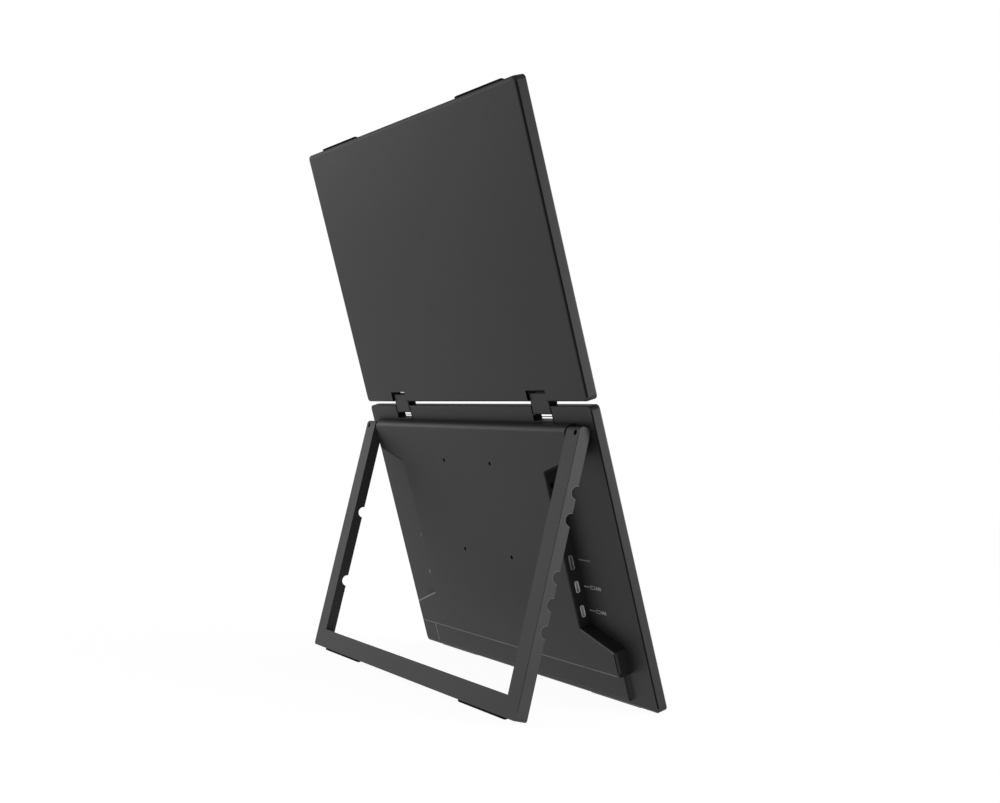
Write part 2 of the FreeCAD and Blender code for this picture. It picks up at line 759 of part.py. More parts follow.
def make_hinge_bracket(panel, side_name):
    """A plate screwed to the back wall, with a knuckle that holds the pin's outer end."""
    body = new_body(f"{PANEL_NAMES[panel]}_{side_name}_hinge_bracket", PANEL_FRAME)
    side = SIDES[side_name]
    start = bracket_start()
    stop = start + size("bracket_length")
    edge = size("shell_wall") + size("bracket_gap")
    plate_front = FLOOR - size("bracket_plate")
    plate = rectangle((start * side, along(panel, edge)),
                      (stop * side, along(panel, edge + size("bracket_height"))))
    pad(body, "XZ_Plane", plate_front, FLOOR, [plate])
    knuckle = rectangle((start * side, along(panel, edge)),
                        ((start + size("knuckle_length")) * side, along(panel, edge + size("knuckle_height"))))
    pad(body, "XZ_Plane", SEAM + size("bracket_gap"), plate_front, [knuckle])
    eye = circle((ZERO, hinge_axis(panel)), size("hinge_pin_diameter") / 2 + size("seat_clearance"))
    eye_stop = start + size("knuckle_length") + OVERRUN
    pocket(body, "YZ_Plane", (start - OVERRUN) * side, eye_stop * side, [eye])
    hole_radius = size("bracket_screw_diameter") / 2 + size("seat_clearance")
    holes = [circle(point, hole_radius) for point in bracket_screw_points(panel) if point[0].value * side > 0]
    pocket(body, "XZ_Plane", plate_front - OVERRUN, FLOOR + OVERRUN, holes)


def make_hinge_screws(panel):
    body = new_body(f"{PANEL_NAMES[panel]}_hinge_screws", PANEL_FRAME)
    plate_front = FLOOR - size("bracket_plate")
    heads = [circle(point, size("bracket_screw_head_diameter") / 2) for point in bracket_screw_points(panel)]
    shanks = [circle(point, size("bracket_screw_diameter") / 2) for point in bracket_screw_points(panel)]
    pad(body, "XZ_Plane", plate_front - size("bracket_screw_head_height"), plate_front, heads)
    pad(body, "XZ_Plane", plate_front, FLOOR + size("bracket_screw_grip"), shanks)


def make_friction_washers(panel):
    """Spring washers on a panel's pins, one on each side of each link block."""
    body = new_body(f"{PANEL_NAMES[panel]}_friction_washers", PANEL_FRAME)
    centre = (ZERO, hinge_axis(panel))
    ring = [circle(centre, size("washer_diameter") / 2),
            circle(centre, size("hinge_pin_diameter") / 2 + size("seat_clearance"))]
    for side in SIDES.values():
        for face in (-1, 1):
            middle_x = HINGE_OFFSET * side
            pad(body, "YZ_Plane", middle_x + WASHER_START * face, middle_x + WASHER_STOP * face, ring)


# Electronics in the housing
def make_main_board():
    body = new_body("main_board", PANEL_FRAME)
    half = WAIST_INSIDE - size("board_side_clearance")
    outline = rectangle((-half, along(LOWER, BOARD_BOTTOM)), (half, along(LOWER, BOARD_TOP)))
    holes = [circle(point, size("board_screw_diameter") / 2 + size("seat_clearance"))
             for point in board_post_points()]
    pad(body, "XZ_Plane", BOARD_FRONT, BOARD_BACK, [outline] + holes)
    half_chip = size("chip_size") / 2
    row = along(LOWER, size("mount_centre"))
    centres = [size("chip_pitch") * step for step in (-1, 0, 1)]
    chips = [rectangle((centre - half_chip, row - half_chip), (centre + half_chip, row + half_chip))
             for centre in centres]
    pad(body, "XZ_Plane", BOARD_BACK, BOARD_BACK + size("chip_depth"), chips)


def make_board_screws():
    body = new_body("board_screws", PANEL_FRAME)
    heads = [circle(point, size("board_screw_head_diameter") / 2) for point in board_post_points()]
    shanks = [circle(point, size("board_screw_diameter") / 2) for point in board_post_points()]
    pad(body, "XZ_Plane", BOARD_FRONT - size("board_screw_head_height"), BOARD_FRONT, heads)
    pad(body, "XZ_Plane", BOARD_FRONT, BOARD_BACK + size("board_screw_grip"), shanks)


def make_mount_inserts():
    """Threaded inserts of the mounting pattern, flush with the housing's face."""
    body = new_body("mount_inserts", PANEL_FRAME)
    outer = [circle(point, size("insert_diameter") / 2 - size("seat_clearance")) for point in mount_points()]
    inner = [circle(point, size("insert_bore") / 2) for point in mount_points()]
    pad(body, "XZ_Plane", HOUSING_FACE - size("insert_length"), HOUSING_FACE, outer + inner)


def make_port(label):
    """A metal receptacle with a tongue, its mouth at the waist wall."""
    body = new_body(label, PANEL_FRAME)
    width, height = port_sizes(label)
    mouth = -WAIST_HALF + size("port_recess")
    centre_z = PORT_HEIGHTS[label]
    pad(body, "YZ_Plane", mouth, mouth + size("port_depth"), [port_box(label, width, height, ZERO)])
    opening = [port_box(label, width, height, -size("port_shell"))]
    pocket(body, "YZ_Plane", mouth - OVERRUN, mouth + size("port_cavity"), opening)
    for shell in (size("port_shell"), ZERO):
        half_width = (width / 2 - shell).value

        def is_corner(edge):
            return runs_along(edge, 0) and near(abs(middle(edge).z - centre_z.value), half_width)

        round_edges(body, height / 2 - shell - size("port_clearance"), is_corner)
    half_tongue = width / 2 - height / 2
    centre_y = BOARD_BACK + height / 2
    half_thickness = size("tongue_thickness") / 2
    tongue = rectangle((centre_y - half_thickness, centre_z - half_tongue),
                       (centre_y + half_thickness, centre_z + half_tongue))
    root = mouth + size("port_cavity")
    pad(body, "YZ_Plane", root - size("tongue_reach"), root, [tongue])


def make_audio_jack():
    body = new_body("audio_jack", PANEL_FRAME)
    side = size("jack_side")
    mouth = -WAIST_HALF + size("port_recess")
    centre = (BOARD_BACK + side / 2, PORT_HEIGHTS["audio_jack"])
    pad(body, "YZ_Plane", mouth, mouth + size("jack_depth"), [port_box("audio_jack", side, side, ZERO)])
    bore_end = mouth + size("jack_depth") - size("port_shell") * 2
    pocket(body, "YZ_Plane", mouth - OVERRUN, bore_end, [circle(centre, size("jack_bore") / 2)])


def round_cap(body):
    """Soft edges round the outer face of a control."""
    face = (WAIST_HALF + size("button_proud")).value
    round_edges(body, size("button_edge_radius"),
                lambda edge: near(edge.BoundBox.XMin, face) and near(edge.BoundBox.XMax, face))


def make_power_button():
    """A push button in the waist wall, with a flange inside and a stem to its switch."""
    body = new_body("power_button", PANEL_FRAME)
    flange_out = WAIST_INSIDE - size("button_flange_gap")
    flange_in = flange_out - size("button_flange_thickness")
    cap = control_box("power_button", ZERO)
    pad(body, "YZ_Plane", flange_out, WAIST_HALF + size("button_proud"), [cap])
    round_cap(body)
    centre_z = CONTROL_HEIGHTS["power_button"]
    half_thickness = size("button_thickness") / 2
    half_length = size("button_length") / 2 + size("button_flange")
    flange = rectangle((control_middle() - half_thickness, centre_z - half_length),
                       (control_middle() + half_thickness, centre_z + half_length))
    pad(body, "YZ_Plane", flange_in, flange_out, [flange])
    stem = circle((control_middle(), centre_z), size("stem_diameter") / 2)
    pad(body, "YZ_Plane", flange_in - size("stem_length"), flange_in, [stem])


def make_menu_rocker():
    """A rocker in the waist wall, on a pin held in the wall above and below it."""
    body = new_body("menu_rocker", PANEL_FRAME)
    cap = control_box("menu_rocker", ZERO)
    pad(body, "YZ_Plane", ROCKER_INSIDE, WAIST_HALF + size("button_proud"), [cap])
    round_cap(body)
    pin = circle((ROCKER_AXIS, CONTROL_HEIGHTS["menu_rocker"]), size("rocker_pin_diameter") / 2)
    half = rocker_pin_half()
    pad(body, "XZ_Plane", control_middle() - half, control_middle() + half, [pin])


def switch_outline(centre):
    half_length = size("switch_length") / 2
    return rectangle((BOARD_BACK, centre - half_length),
                     (BOARD_BACK + size("switch_height"), centre + half_length))


def make_button_switches():
    """Switches on the main board: one behind the power button, one behind each end of the rocker."""
    body = new_body("button_switches", PANEL_FRAME)
    gap = size("button_flange_gap")
    stem_end = WAIST_INSIDE - gap - size("button_flange_thickness") - size("stem_length")
    power_face = stem_end - size("button_travel") - gap
    power_switch = switch_outline(CONTROL_HEIGHTS["power_button"])
    pad(body, "YZ_Plane", power_face - size("switch_depth"), power_face, [power_switch])
    rocker_face = ROCKER_INSIDE - size("rocker_travel") - gap
    rocker_centre = CONTROL_HEIGHTS["menu_rocker"]
    step = size("rocker_switch_pitch") / 2
    rocker_switches = [switch_outline(rocker_centre + step * end) for end in (-1, 1)]
    pad(body, "YZ_Plane", rocker_face - size("switch_depth"), rocker_face, rocker_switches)


def make_status_light():
    body = new_body("status_light", PANEL_FRAME)
    centre = (control_middle(), STATUS_LIGHT_HEIGHT)
    pad(body, "YZ_Plane", WAIST_INSIDE - size("light_tail"), WAIST_HALF,
        [circle(centre, size("light_diameter") / 2)])


def make_speaker(side_name):
    """A flat box speaker on the housing's roof, behind the sound slots."""
    body = new_body(f"{side_name}_speaker", PANEL_FRAME)
    centre = (WING_HALF - size("speaker_inset")) * SIDES[side_name]
    half = size("speaker_length") / 2
    low = along(LOWER, HOUSING_BOTTOM - size("housing_wall"))
    high = low + size("speaker_height")
    front = HOUSING_ROOF - size("speaker_depth")
    pad(body, "XZ_Plane", front, HOUSING_ROOF, [rectangle((centre - half, low), (centre + half, high))])
    round_edges(body, size("speaker_edge_radius"), lambda edge: runs_along(edge, 1))
    rim = size("speaker_rim")
    cone = rectangle((centre - half + rim, low + rim), (centre + half - rim, high - rim))
    pocket(body, "XZ_Plane", front - OVERRUN, front + size("speaker_cone_depth"), [cone])


# Frame stand
def leg_notch_centres(side_name):
    """Depth and height of the cable notches, each beside a port or control when the stand is folded."""
    beside = PORT_HEIGHTS if SIDES[side_name] < 0 else CONTROL_HEIGHTS
    return [(-STAND_BACK, height - along(LOWER, PIVOT_DROP)) for height in beside.values()]


def make_stand_frame():
    body = new_body("stand_frame", STAND_FRAME)
    outside = rectangle((-STAND_HALF, -LEG_LENGTH), (STAND_HALF, size("leg_head")))
    pad(body, "XZ_Plane", -STAND_BACK, STAND_BACK, [outside])
    window = body.newObject("PartDesign::SubtractiveLoft", "Window")
    top = size("leg_head") + OVERRUN
    sections = []
    for face, depth in (("front", -STAND_BACK), ("back", STAND_BACK)):
        half = STAND_HALF - size(f"leg_{face}_width")
        sill = size(f"bar_{face}_height") - LEG_LENGTH
        sections.append(new_sketch(body, "XZ_Plane", depth, [rectangle((-half, sill), (half, top))]))
    window.Profile = sections[0]
    window.Sections = sections[1:]
    window.Ruled = True
    body.Tip = window
    head = size("leg_head").value
    foot = -LEG_LENGTH.value
    round_edges(body, size("head_radius"), lambda edge: runs_along(edge, 0) and near(middle(edge).z, head))
    round_edges(body, size("stand_corner_radius"),
                lambda edge: runs_along(edge, 1) and near(middle(edge).z, foot))
    relief_half = LEDGE_HALF + size("relief_clearance")
    relief = rectangle((-relief_half, -LEG_LENGTH - OVERRUN),
                       (relief_half, size("bar_back_height") - LEG_LENGTH + OVERRUN))
    pocket(body, "XZ_Plane", -STAND_BACK - OVERRUN, size("bar_relief") - STAND_BACK, [relief])
    inner = STAND_HALF - size("leg_back_width") - OVERRUN
    for side_name, side in SIDES.items():
        notches = [circle(centre, size("leg_notch_radius")) for centre in leg_notch_centres(side_name)]
        pocket(body, "YZ_Plane", inner * side, (STAND_HALF + OVERRUN) * side, notches)
        seat = circle((ZERO, ZERO), size("bush_diameter") / 2)
        pocket(body, "YZ_Plane", inner * side, (STAND_HALF - size("stand_pin_cover")) * side, [seat])
    holes = [circle(point, size("stand_screw_diameter") / 2) for point in stand_screw_points()]
    pocket(body, "XZ_Plane", size("bush_diameter") / 2, STAND_BACK + OVERRUN, holes)


def stand_screw_points():
    across = STAND_HALF - size("stand_screw_inset")
    return [(across * side, size("stand_screw_rise")) for side in SIDES.values()]


def make_stand_screws():
    """Grub screws in the legs' heads, bearing on the bushes."""
    body = new_body("stand_screws", STAND_FRAME)
    start = size("bush_diameter") / 2
    radius = size("stand_screw_diameter") / 2 - size("seat_clearance")
    pad(body, "XZ_Plane", start, start + size("stand_screw_length"),
        [circle(point, radius) for point in stand_screw_points()])


def make_stand_bush(side_name):
    body = new_body(f"{side_name}_stand_bush", STAND_FRAME)
    side = SIDES[side_name]
    outer_end = STAND_HALF - size("stand_pin_cover")
    ring = [circle((ZERO, ZERO), size("bush_diameter") / 2 - size("seat_clearance")),
            circle((ZERO, ZERO), size("stand_pin_diameter") / 2 + size("running_clearance"))]
    pad(body, "YZ_Plane", (outer_end - size("bush_length")) * side, outer_end * side, ring)


def make_stand_pin(side_name):
    """The pivot pin, held in the housing and turning in the leg's bush."""
    body = new_body(f"{side_name}_stand_pin", PANEL_FRAME)
    side = SIDES[side_name]
    inner = WING_HALF - size("housing_wall") - size("stand_bracket_length")
    outer = STAND_HALF - size("stand_pin_cover") - size("pass_clearance")
    centre = (PIVOT_Y, along(LOWER, PIVOT_DROP))
    pad(body, "YZ_Plane", inner * side, outer * side, [circle(centre, size("stand_pin_diameter") / 2)])


def make_stand_bracket(side_name):
    """The block under the housing's roof that holds the pivot pin's inner end."""
    body = new_body(f"{side_name}_stand_bracket", PANEL_FRAME)
    side = SIDES[side_name]
    outer = WING_HALF - size("housing_wall")
    inner = outer - size("stand_bracket_length")
    high = along(LOWER, ROOM_TOP)
    low = high - size("stand_bracket_height")
    front = HOUSING_ROOF - size("stand_bracket_depth")
    pad(body, "XZ_Plane", front, HOUSING_ROOF, [rectangle((inner * side, low), (outer * side, high))])
    centre = (PIVOT_Y, along(LOWER, PIVOT_DROP))
    eye = circle(centre, size("stand_pin_diameter") / 2 + size("seat_clearance"))
    pocket(body, "YZ_Plane", (inner - OVERRUN) * side, (outer + OVERRUN) * side, [eye])


# Feet and bumpers
def crowned_strip(seat, direction, centre_depth):
    """A strip's section: a flat seat, two short sides and a round crown."""
    half = size("pad_width") / 2
    crown = size("pad_crown_radius")
    side_height = size("pad_proud") - crown + root_of_difference(crown, half)
    front = centre_depth - half
    back = centre_depth + half
    rim = seat + side_height * direction
    corners = [(front, rim), (front, seat), (back, seat), (back, rim)]
    top = (centre_depth, seat + size("pad_proud") * direction)

    def draw(sketch):
        first = sketch.GeometryCount
        for start, stop in zip(corners, corners[1:]):
            sketch.addGeometry(Part.LineSegment(vector(start), vector(stop)), False)
        arc = sketch.addGeometry(Part.Arc(vector(corners[-1]), vector(top), vector(corners[0])), False)
        for index in range(first, arc - 1):
            sketch.addConstraint(Sketcher.Constraint("Coincident", index, 2, index + 1, 1))
        for index, corner in enumerate(corners[:-1]):
            bind_point(sketch, first + index, 1, corner)
        bind_point(sketch, arc - 1, 2, corners[-1])
        forwards = sketch.getPoint(arc, 1).isEqual(vector(corners[0]), TOLERANCE)
        sketch.addConstraint(Sketcher.Constraint("Coincident", arc, 1 if forwards else 2, first, 1))
        sketch.addConstraint(Sketcher.Constraint("Coincident", arc, 2 if forwards else 1, arc - 1, 2))
        bind_radius(sketch, arc, crown)
    return draw


def make_pad(label, frame, side_name, seat, direction, centre_depth):
    body = new_body(label, frame)
    centre = (PANEL_HALF - size("pad_inset")) * SIDES[side_name]
    half = size("pad_length") / 2
    pad(body, "YZ_Plane", centre - half, centre + half, [crowned_strip(seat, direction, centre_depth)])


# The whole object
for panel in (LOWER, UPPER):
    make_back_cover(panel)
    make_bezel(panel)
    make_display_stack(panel)
    make_panel_board(panel)
    make_hinge_screws(panel)
    make_friction_washers(panel)
    for side_name in SIDES:
        make_hinge_pin(panel, side_name)
        make_hinge_bracket(panel, side_name)
make_main_board()
make_board_screws()
make_mount_inserts()
make_audio_jack()
for label in ("data_port_c", "video_port", "data_port_a", "data_port_b"):
    make_port(label)
make_power_button()
make_menu_rocker()
make_button_switches()
make_status_light()
make_stand_frame()
make_stand_screws()
for side_name in SIDES:
    make_link_block(side_name)
    make_speaker(side_name)
    make_stand_bush(side_name)
    make_stand_pin(side_name)
    make_stand_bracket(side_name)
    make_pad(f"{side_name}_panel_foot", PANEL_FRAME, side_name, along(LOWER, size("panel_height")), LOWER,
             size("pad_offset"))
    make_pad(f"{side_name}_bumper", PANEL_FRAME, side_name, along(UPPER, size("panel_height")), UPPER,
             size("pad_offset"))
    make_pad(f"{side_name}_stand_foot", STAND_FRAME, side_name, -LEG_LENGTH, LOWER, ZERO)
doc.recompute()

# Every feature has to be sound, and every cut has to have cut something, before anything is written
bodies = [item for item in doc.Objects if item.TypeId == "PartDesign::Body"]
for item in doc.Objects:
    if "Invalid" in item.State or "Error" in item.State:
        raise RuntimeError(f"{item.Label} failed: {item.State}")
for body in bodies:
    if body.Shape.isNull() or not body.Shape.isValid():
        raise RuntimeError(f"{body.Label} has no valid shape")
    for item in body.Group:
        if item.TypeId in ("PartDesign::Pocket", "PartDesign::SubtractiveLoft"):
            if item.Shape.Volume >= item.BaseFeature.Shape.Volume - TOLERANCE:
                raise RuntimeError(f"{body.Label}: {item.Label} cuts nothing")

lean, hinge_height = panel_lean()
print(f"lean {lean:.3f} degrees, hinge height {hinge_height:.3f} mm, {len(bodies)} sub-parts")
os.makedirs("parts", exist_ok=True)
for body in bodies:
    body.Shape.exportStep(f"parts/{body.Label}.step")
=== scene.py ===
"""Stacked two-screen portable monitor: materials, small details, studio and camera."""
import json
import math

import bmesh
import bpy
from mathutils import Matrix, Vector


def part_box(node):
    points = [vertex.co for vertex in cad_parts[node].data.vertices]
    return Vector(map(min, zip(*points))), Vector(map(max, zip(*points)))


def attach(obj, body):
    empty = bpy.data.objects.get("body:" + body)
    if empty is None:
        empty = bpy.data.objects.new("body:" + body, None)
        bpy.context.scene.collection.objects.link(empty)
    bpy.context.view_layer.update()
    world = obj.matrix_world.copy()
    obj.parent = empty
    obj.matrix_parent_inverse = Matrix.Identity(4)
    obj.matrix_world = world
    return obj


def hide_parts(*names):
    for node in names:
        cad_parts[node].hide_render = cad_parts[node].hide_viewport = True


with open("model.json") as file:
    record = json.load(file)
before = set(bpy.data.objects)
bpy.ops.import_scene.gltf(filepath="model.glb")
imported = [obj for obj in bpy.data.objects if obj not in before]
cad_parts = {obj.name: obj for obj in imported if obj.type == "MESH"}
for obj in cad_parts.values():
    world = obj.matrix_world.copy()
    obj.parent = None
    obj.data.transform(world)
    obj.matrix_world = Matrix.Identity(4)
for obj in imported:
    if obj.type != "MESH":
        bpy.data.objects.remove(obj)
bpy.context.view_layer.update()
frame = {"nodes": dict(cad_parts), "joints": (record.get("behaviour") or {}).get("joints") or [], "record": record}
MM = 0.001

# Frames of the model: the panels lean about the hinge, the stand turns about its pivot
joints = {joint["name"]: joint for joint in frame["joints"]}
lower_axis = Vector(joints["link_fold"]["pos_m"])
upper_axis = Vector(joints["lid_fold"]["pos_m"])
panel_rise = upper_axis - lower_axis
LEAN = math.atan2(panel_rise.y, panel_rise.z)
STAND_TURN = -math.radians(joints["stand_fold"]["range_deg"][0]) - LEAN
PANEL_FRAME = Matrix.Translation((lower_axis + upper_axis) / 2) @ Matrix.Rotation(-LEAN, 4, "X")
STAND_FRAME = Matrix.Translation(joints["stand_fold"]["pos_m"]) @ Matrix.Rotation(STAND_TURN, 4, "X")


# Materials
NOISE_ROUGHNESS = 0.55
NOISE_LOW = 0.3
NOISE_HIGH = 0.7
TINT_LOW = 0.35
TINT_HIGH = 0.65
DRIFT_SCALE = 30.0
GRAIN_SPREAD = 0.07
GRAIN_BUMP = 0.35


def add_node(tree, kind, **values):
    node = tree.nodes.new(kind)
    for name, value in values.items():
        node.inputs[name].default_value = value
    return node


def mapped_noise(tree, scale, detail, stretch=(1, 1, 1)):
    """Noise in the object's own metres, drawn out along an axis where stretch says so."""
    place = tree.nodes.new("ShaderNodeTexCoord")
    mapping = tree.nodes.new("ShaderNodeMapping")
    mapping.inputs["Scale"].default_value = stretch
    tree.links.new(place.outputs["Object"], mapping.inputs["Vector"])
    noise = add_node(tree, "ShaderNodeTexNoise", Scale=scale, Detail=detail, Roughness=NOISE_ROUGHNESS)
    tree.links.new(mapping.outputs["Vector"], noise.inputs["Vector"])
    return noise


def colour_between(tree, factor, dark, light):
    """Maps noise to a colour from dark to light."""
    ramp = tree.nodes.new("ShaderNodeValToRGB")
    ramp.color_ramp.elements[0].position = TINT_LOW
    ramp.color_ramp.elements[0].color = (*dark, 1)
    ramp.color_ramp.elements[1].position = TINT_HIGH
    ramp.color_ramp.elements[1].color = (*light, 1)
    tree.links.new(factor, ramp.inputs["Fac"])
    return ramp.outputs["Color"]


def spread(tree, factor, low, high):
    """Maps noise to a range of values."""
    span = add_node(tree, "ShaderNodeMapRange")
    span.inputs["From Min"].default_value = NOISE_LOW
    span.inputs["From Max"].default_value = NOISE_HIGH
    span.inputs["To Min"].default_value = low
    span.inputs["To Max"].default_value = high
    tree.links.new(factor, span.inputs["Value"])
    return span.outputs["Result"]


def new_material(name):
    made = bpy.data.materials.new(name)
    made.use_nodes = True
    tree = made.node_tree
    return made, tree, tree.nodes["Principled BSDF"]


def grey(level):
    return (level, level, level)


def shaded(colour, share):
    return tuple(min(1.0, channel * share) for channel in colour)


def surface(name, colour, roughness, grain_scale, grain_depth, mottle=0.07, metallic=0.0, stretch=(1, 1, 1),
            specular=0.5):
    """A material with slow colour drift, fine grain in its roughness, and a matching bump."""
    made, tree, shader = new_material(name)
    drift = mapped_noise(tree, DRIFT_SCALE, detail=4)
    dark = shaded(colour, 1 - mottle)
    light = shaded(colour, 1 + mottle)
    tint = colour_between(tree, drift.outputs["Fac"], dark, light)
    tree.links.new(tint, shader.inputs["Base Color"])
    grain = mapped_noise(tree, grain_scale, detail=3, stretch=stretch)
    rough = spread(tree, grain.outputs["Fac"], roughness - GRAIN_SPREAD, roughness + GRAIN_SPREAD)
    tree.links.new(rough, shader.inputs["Roughness"])
    bump = add_node(tree, "ShaderNodeBump", Strength=GRAIN_BUMP, Distance=grain_depth)
    tree.links.new(grain.outputs["Fac"], bump.inputs["Height"])
    tree.links.new(bump.outputs["Normal"], shader.inputs["Normal"])
    shader.inputs["Metallic"].default_value = metallic
    shader.inputs["Specular IOR Level"].default_value = specular
    return made


def display_surface(name):
    """Switched-off display: a dark picture area under an anti-glare surface, with a fine cell grid."""
    made, tree, shader = new_material(name)
    place = tree.nodes.new("ShaderNodeTexCoord")
    cells = add_node(tree, "ShaderNodeTexVoronoi", Scale=5200.0)
    cells.distance = "CHEBYCHEV"
    tree.links.new(place.outputs["Object"], cells.inputs["Vector"])
    tint = colour_between(tree, cells.outputs["Distance"], (0.006, 0.007, 0.009), (0.012, 0.013, 0.016))
    tree.links.new(tint, shader.inputs["Base Color"])
    haze = mapped_noise(tree, scale=9000.0, detail=2)
    rough = spread(tree, haze.outputs["Fac"], low=0.22, high=0.3)
    tree.links.new(rough, shader.inputs["Roughness"])
    bump = add_node(tree, "ShaderNodeBump", Strength=0.12, Distance=0.00001)
    tree.links.new(haze.outputs["Fac"], bump.inputs["Height"])
    tree.links.new(bump.outputs["Normal"], shader.inputs["Normal"])
    shader.inputs["Specular IOR Level"].default_value = 0.5
    return made


def board_surface(name):
    """Green solder mask with faint copper tracks under it."""
    made, tree, shader = new_material(name)
    place = tree.nodes.new("ShaderNodeTexCoord")
    tracks = add_node(tree, "ShaderNodeTexBrick", Scale=180.0)
    tracks.inputs["Color1"].default_value = (0.008, 0.06, 0.022, 1)
    tracks.inputs["Color2"].default_value = (0.01, 0.075, 0.028, 1)
    tracks.inputs["Mortar"].default_value = (0.02, 0.12, 0.05, 1)
    tracks.inputs["Mortar Size"].default_value = 0.03
    tree.links.new(place.outputs["Object"], tracks.inputs["Vector"])
    tree.links.new(tracks.outputs["Color"], shader.inputs["Base Color"])
    mask = mapped_noise(tree, scale=900.0, detail=2)
    rough = spread(tree, mask.outputs["Fac"], low=0.3, high=0.42)
    tree.links.new(rough, shader.inputs["Roughness"])
    return made


# Each surface: colour, roughness, scale of the grain, and its depth in metres
CHARCOAL = (0.015, 0.015, 0.0152)
DRAWN = (0.05, 1, 1)
materials = {
    "cover_plastic": surface("cover_plastic", CHARCOAL, 0.5, 2600.0, 0.00003, mottle=0.03, specular=0.21),
    "stand_plastic": surface("stand_plastic", (0.025, 0.025, 0.0253), 0.52, 2600.0, 0.00003, mottle=0.03,
                             specular=0.29),
    "bezel_plastic": surface("bezel_plastic", (0.012, 0.012, 0.0125), 0.45, 2200.0, 0.00002, mottle=0.05,
                             specular=0.3),
    "display_glass": display_surface("display_glass"),
    "optical_film": surface("optical_film", (0.8, 0.8, 0.78), 0.35, 1200.0, 0.00001),
    "light_guide": surface("light_guide", (0.75, 0.78, 0.78), 0.15, 1500.0, 0.00001),
    "tray_metal": surface("tray_metal", (0.55, 0.55, 0.56), 0.38, 500.0, 0.00001, metallic=1.0,
                          stretch=(0.03, 1, 1)),
    "board": board_surface("board"),
    "pin_steel": surface("pin_steel", (0.45, 0.45, 0.46), 0.3, 1500.0, 0.000008, metallic=1.0,
                         stretch=DRAWN),
    "bracket_steel": surface("bracket_steel", (0.42, 0.42, 0.43), 0.36, 900.0, 0.00001, metallic=1.0,
                             stretch=DRAWN),
    "block_metal": surface("block_metal", (0.0144, 0.0144, 0.0147), 0.48, 2400.0, 0.00003, mottle=0.04,
                           specular=0.21),
    "insert_brass": surface("insert_brass", (0.03, 0.027, 0.022), 0.42, 1800.0, 0.00001, metallic=1.0),
    "port_metal": surface("port_metal", grey(0.5), 0.3, 1600.0, 0.000006, metallic=1.0),
    "button_plastic": surface("button_plastic", (0.018, 0.018, 0.0185), 0.45, 2600.0, 0.00002, mottle=0.04,
                              specular=0.25),
    "lens": surface("lens", (0.26, 0.29, 0.3), 0.2, 900.0, 0.00001),
    "component_plastic": surface("component_plastic", grey(0.018), 0.5, 2000.0, 0.00002),
    "rubber": surface("rubber", grey(0.005), 0.78, 1500.0, 0.00006, specular=0.05),
}
slot_of = {item["node"]: item["material_slot"] for item in frame["record"]["subparts"]}
for node_name, node in frame["nodes"].items():
    node.data.materials.clear()
    node.data.materials.append(materials[slot_of[node_name]])


# Details: small pieces in millimetres of the panels' and the stand's own frames.
# A point's first number runs across, its second towards the back, its third up along the panel or the leg.
ACROSS = 0
BACKWARD = 1
SIDES = (-1, 1)
SEAM_PROUD = 0.02
ARC_STEPS = 8
ROUND_SLACK = 0.01

# Outlines of the panels, the housing and the stand
PANEL_HALF = 177.5
PANEL_END = 223.3
CORNER_GAP = 4.0
HINGE_GAP = 5.0
UPPER_RUN = (HINGE_GAP, PANEL_END - CORNER_GAP)
LOWER_RUN = (CORNER_GAP - PANEL_END, -HINGE_GAP)
HOUSING_TOP = -13.6
HOUSING_BOTTOM = -197.3
WAIST_HALF = 114.5
WING_HALF = 153.5
WING_INSET = 3.0
CREST_INSET = 0.6
UPPER_SHOULDER = (-37.5, -48.5)
LOWER_SHOULDER = (-165.8, -178.5)
WING_CORNER = 3.3
SHOULDER_GAP = 1.0
WING_RUN = (HOUSING_BOTTOM + WING_CORNER, LOWER_SHOULDER[1] - SHOULDER_GAP)
LEDGE_HALF = 147.0
LEDGE_FACE = 6.75
LEDGE_BOTTOM = -218.5
LEDGE_GAP = 1.0
LEDGE_RUN = (LEDGE_BOTTOM + LEDGE_GAP, HOUSING_BOTTOM)
STAND_HALF = 172.5
LEG_LENGTH = 194.7
LEG_GAP = 6.0
LEG_HEAD = 2.0
LEG_RUN = (LEG_GAP - LEG_LENGTH, LEG_HEAD)

# Rounded edges: the depth of the face and the radius of its edge
LOWER_BACK = 3.75
STAND_BACK = 4.4
HOUSING_FACE = 14.25
HOUSING_ROUND = 1.0
UPPER_EDGE = (5.15, 1.8)
LOWER_EDGE = (LOWER_BACK, 0.8)
HOUSING_EDGE = (HOUSING_FACE, HOUSING_ROUND)
CREST_EDGE = (HOUSING_FACE, 6.0)
LEDGE_EDGE = (LEDGE_FACE, 0.6)
LEG_EDGE = (STAND_BACK, 0.05)

# Ports: height along the panel, width, and depth of the mouth
PORTS = {
    "data_port_c": (-77.9, 8.9, 3.2),
    "video_port": (-117.5, 11.2, 3.4),
    "data_port_a": (-136.0, 8.9, 3.2),
    "data_port_b": (-154.6, 8.9, 3.2),
}
PORT_BASE = 6.75
RIM_FIT = 0.05
RIM_WALL = 0.6
RIM_SUNK = 0.25
RIM_PROUD = 0.15
RIM_LEVELS = (RIM_SUNK - WAIST_HALF, -RIM_PROUD - WAIST_HALF)
RIM_BEVEL = 0.12
JACK_HEIGHT = -59.1
JACK_SIDE = 5.0
JACK_RIM = 2.6
JACK_RIM_WALL = 0.75
WIDE_PORT = 10.0
WIDE_CONTACTS = 9
NARROW_CONTACTS = 6
TONGUE_HALF = 0.35
CONTACT_INSET = 4.0
CONTACT_ROW = CONTACT_INSET - WAIST_HALF
CONTACT_HALF_LENGTH = 1.5
CONTACT_SHARE = 0.3
CONTACT_CORNER = 0.1
CONTACT_PROUD = 0.06
CONTACT_BEVEL = 0.02

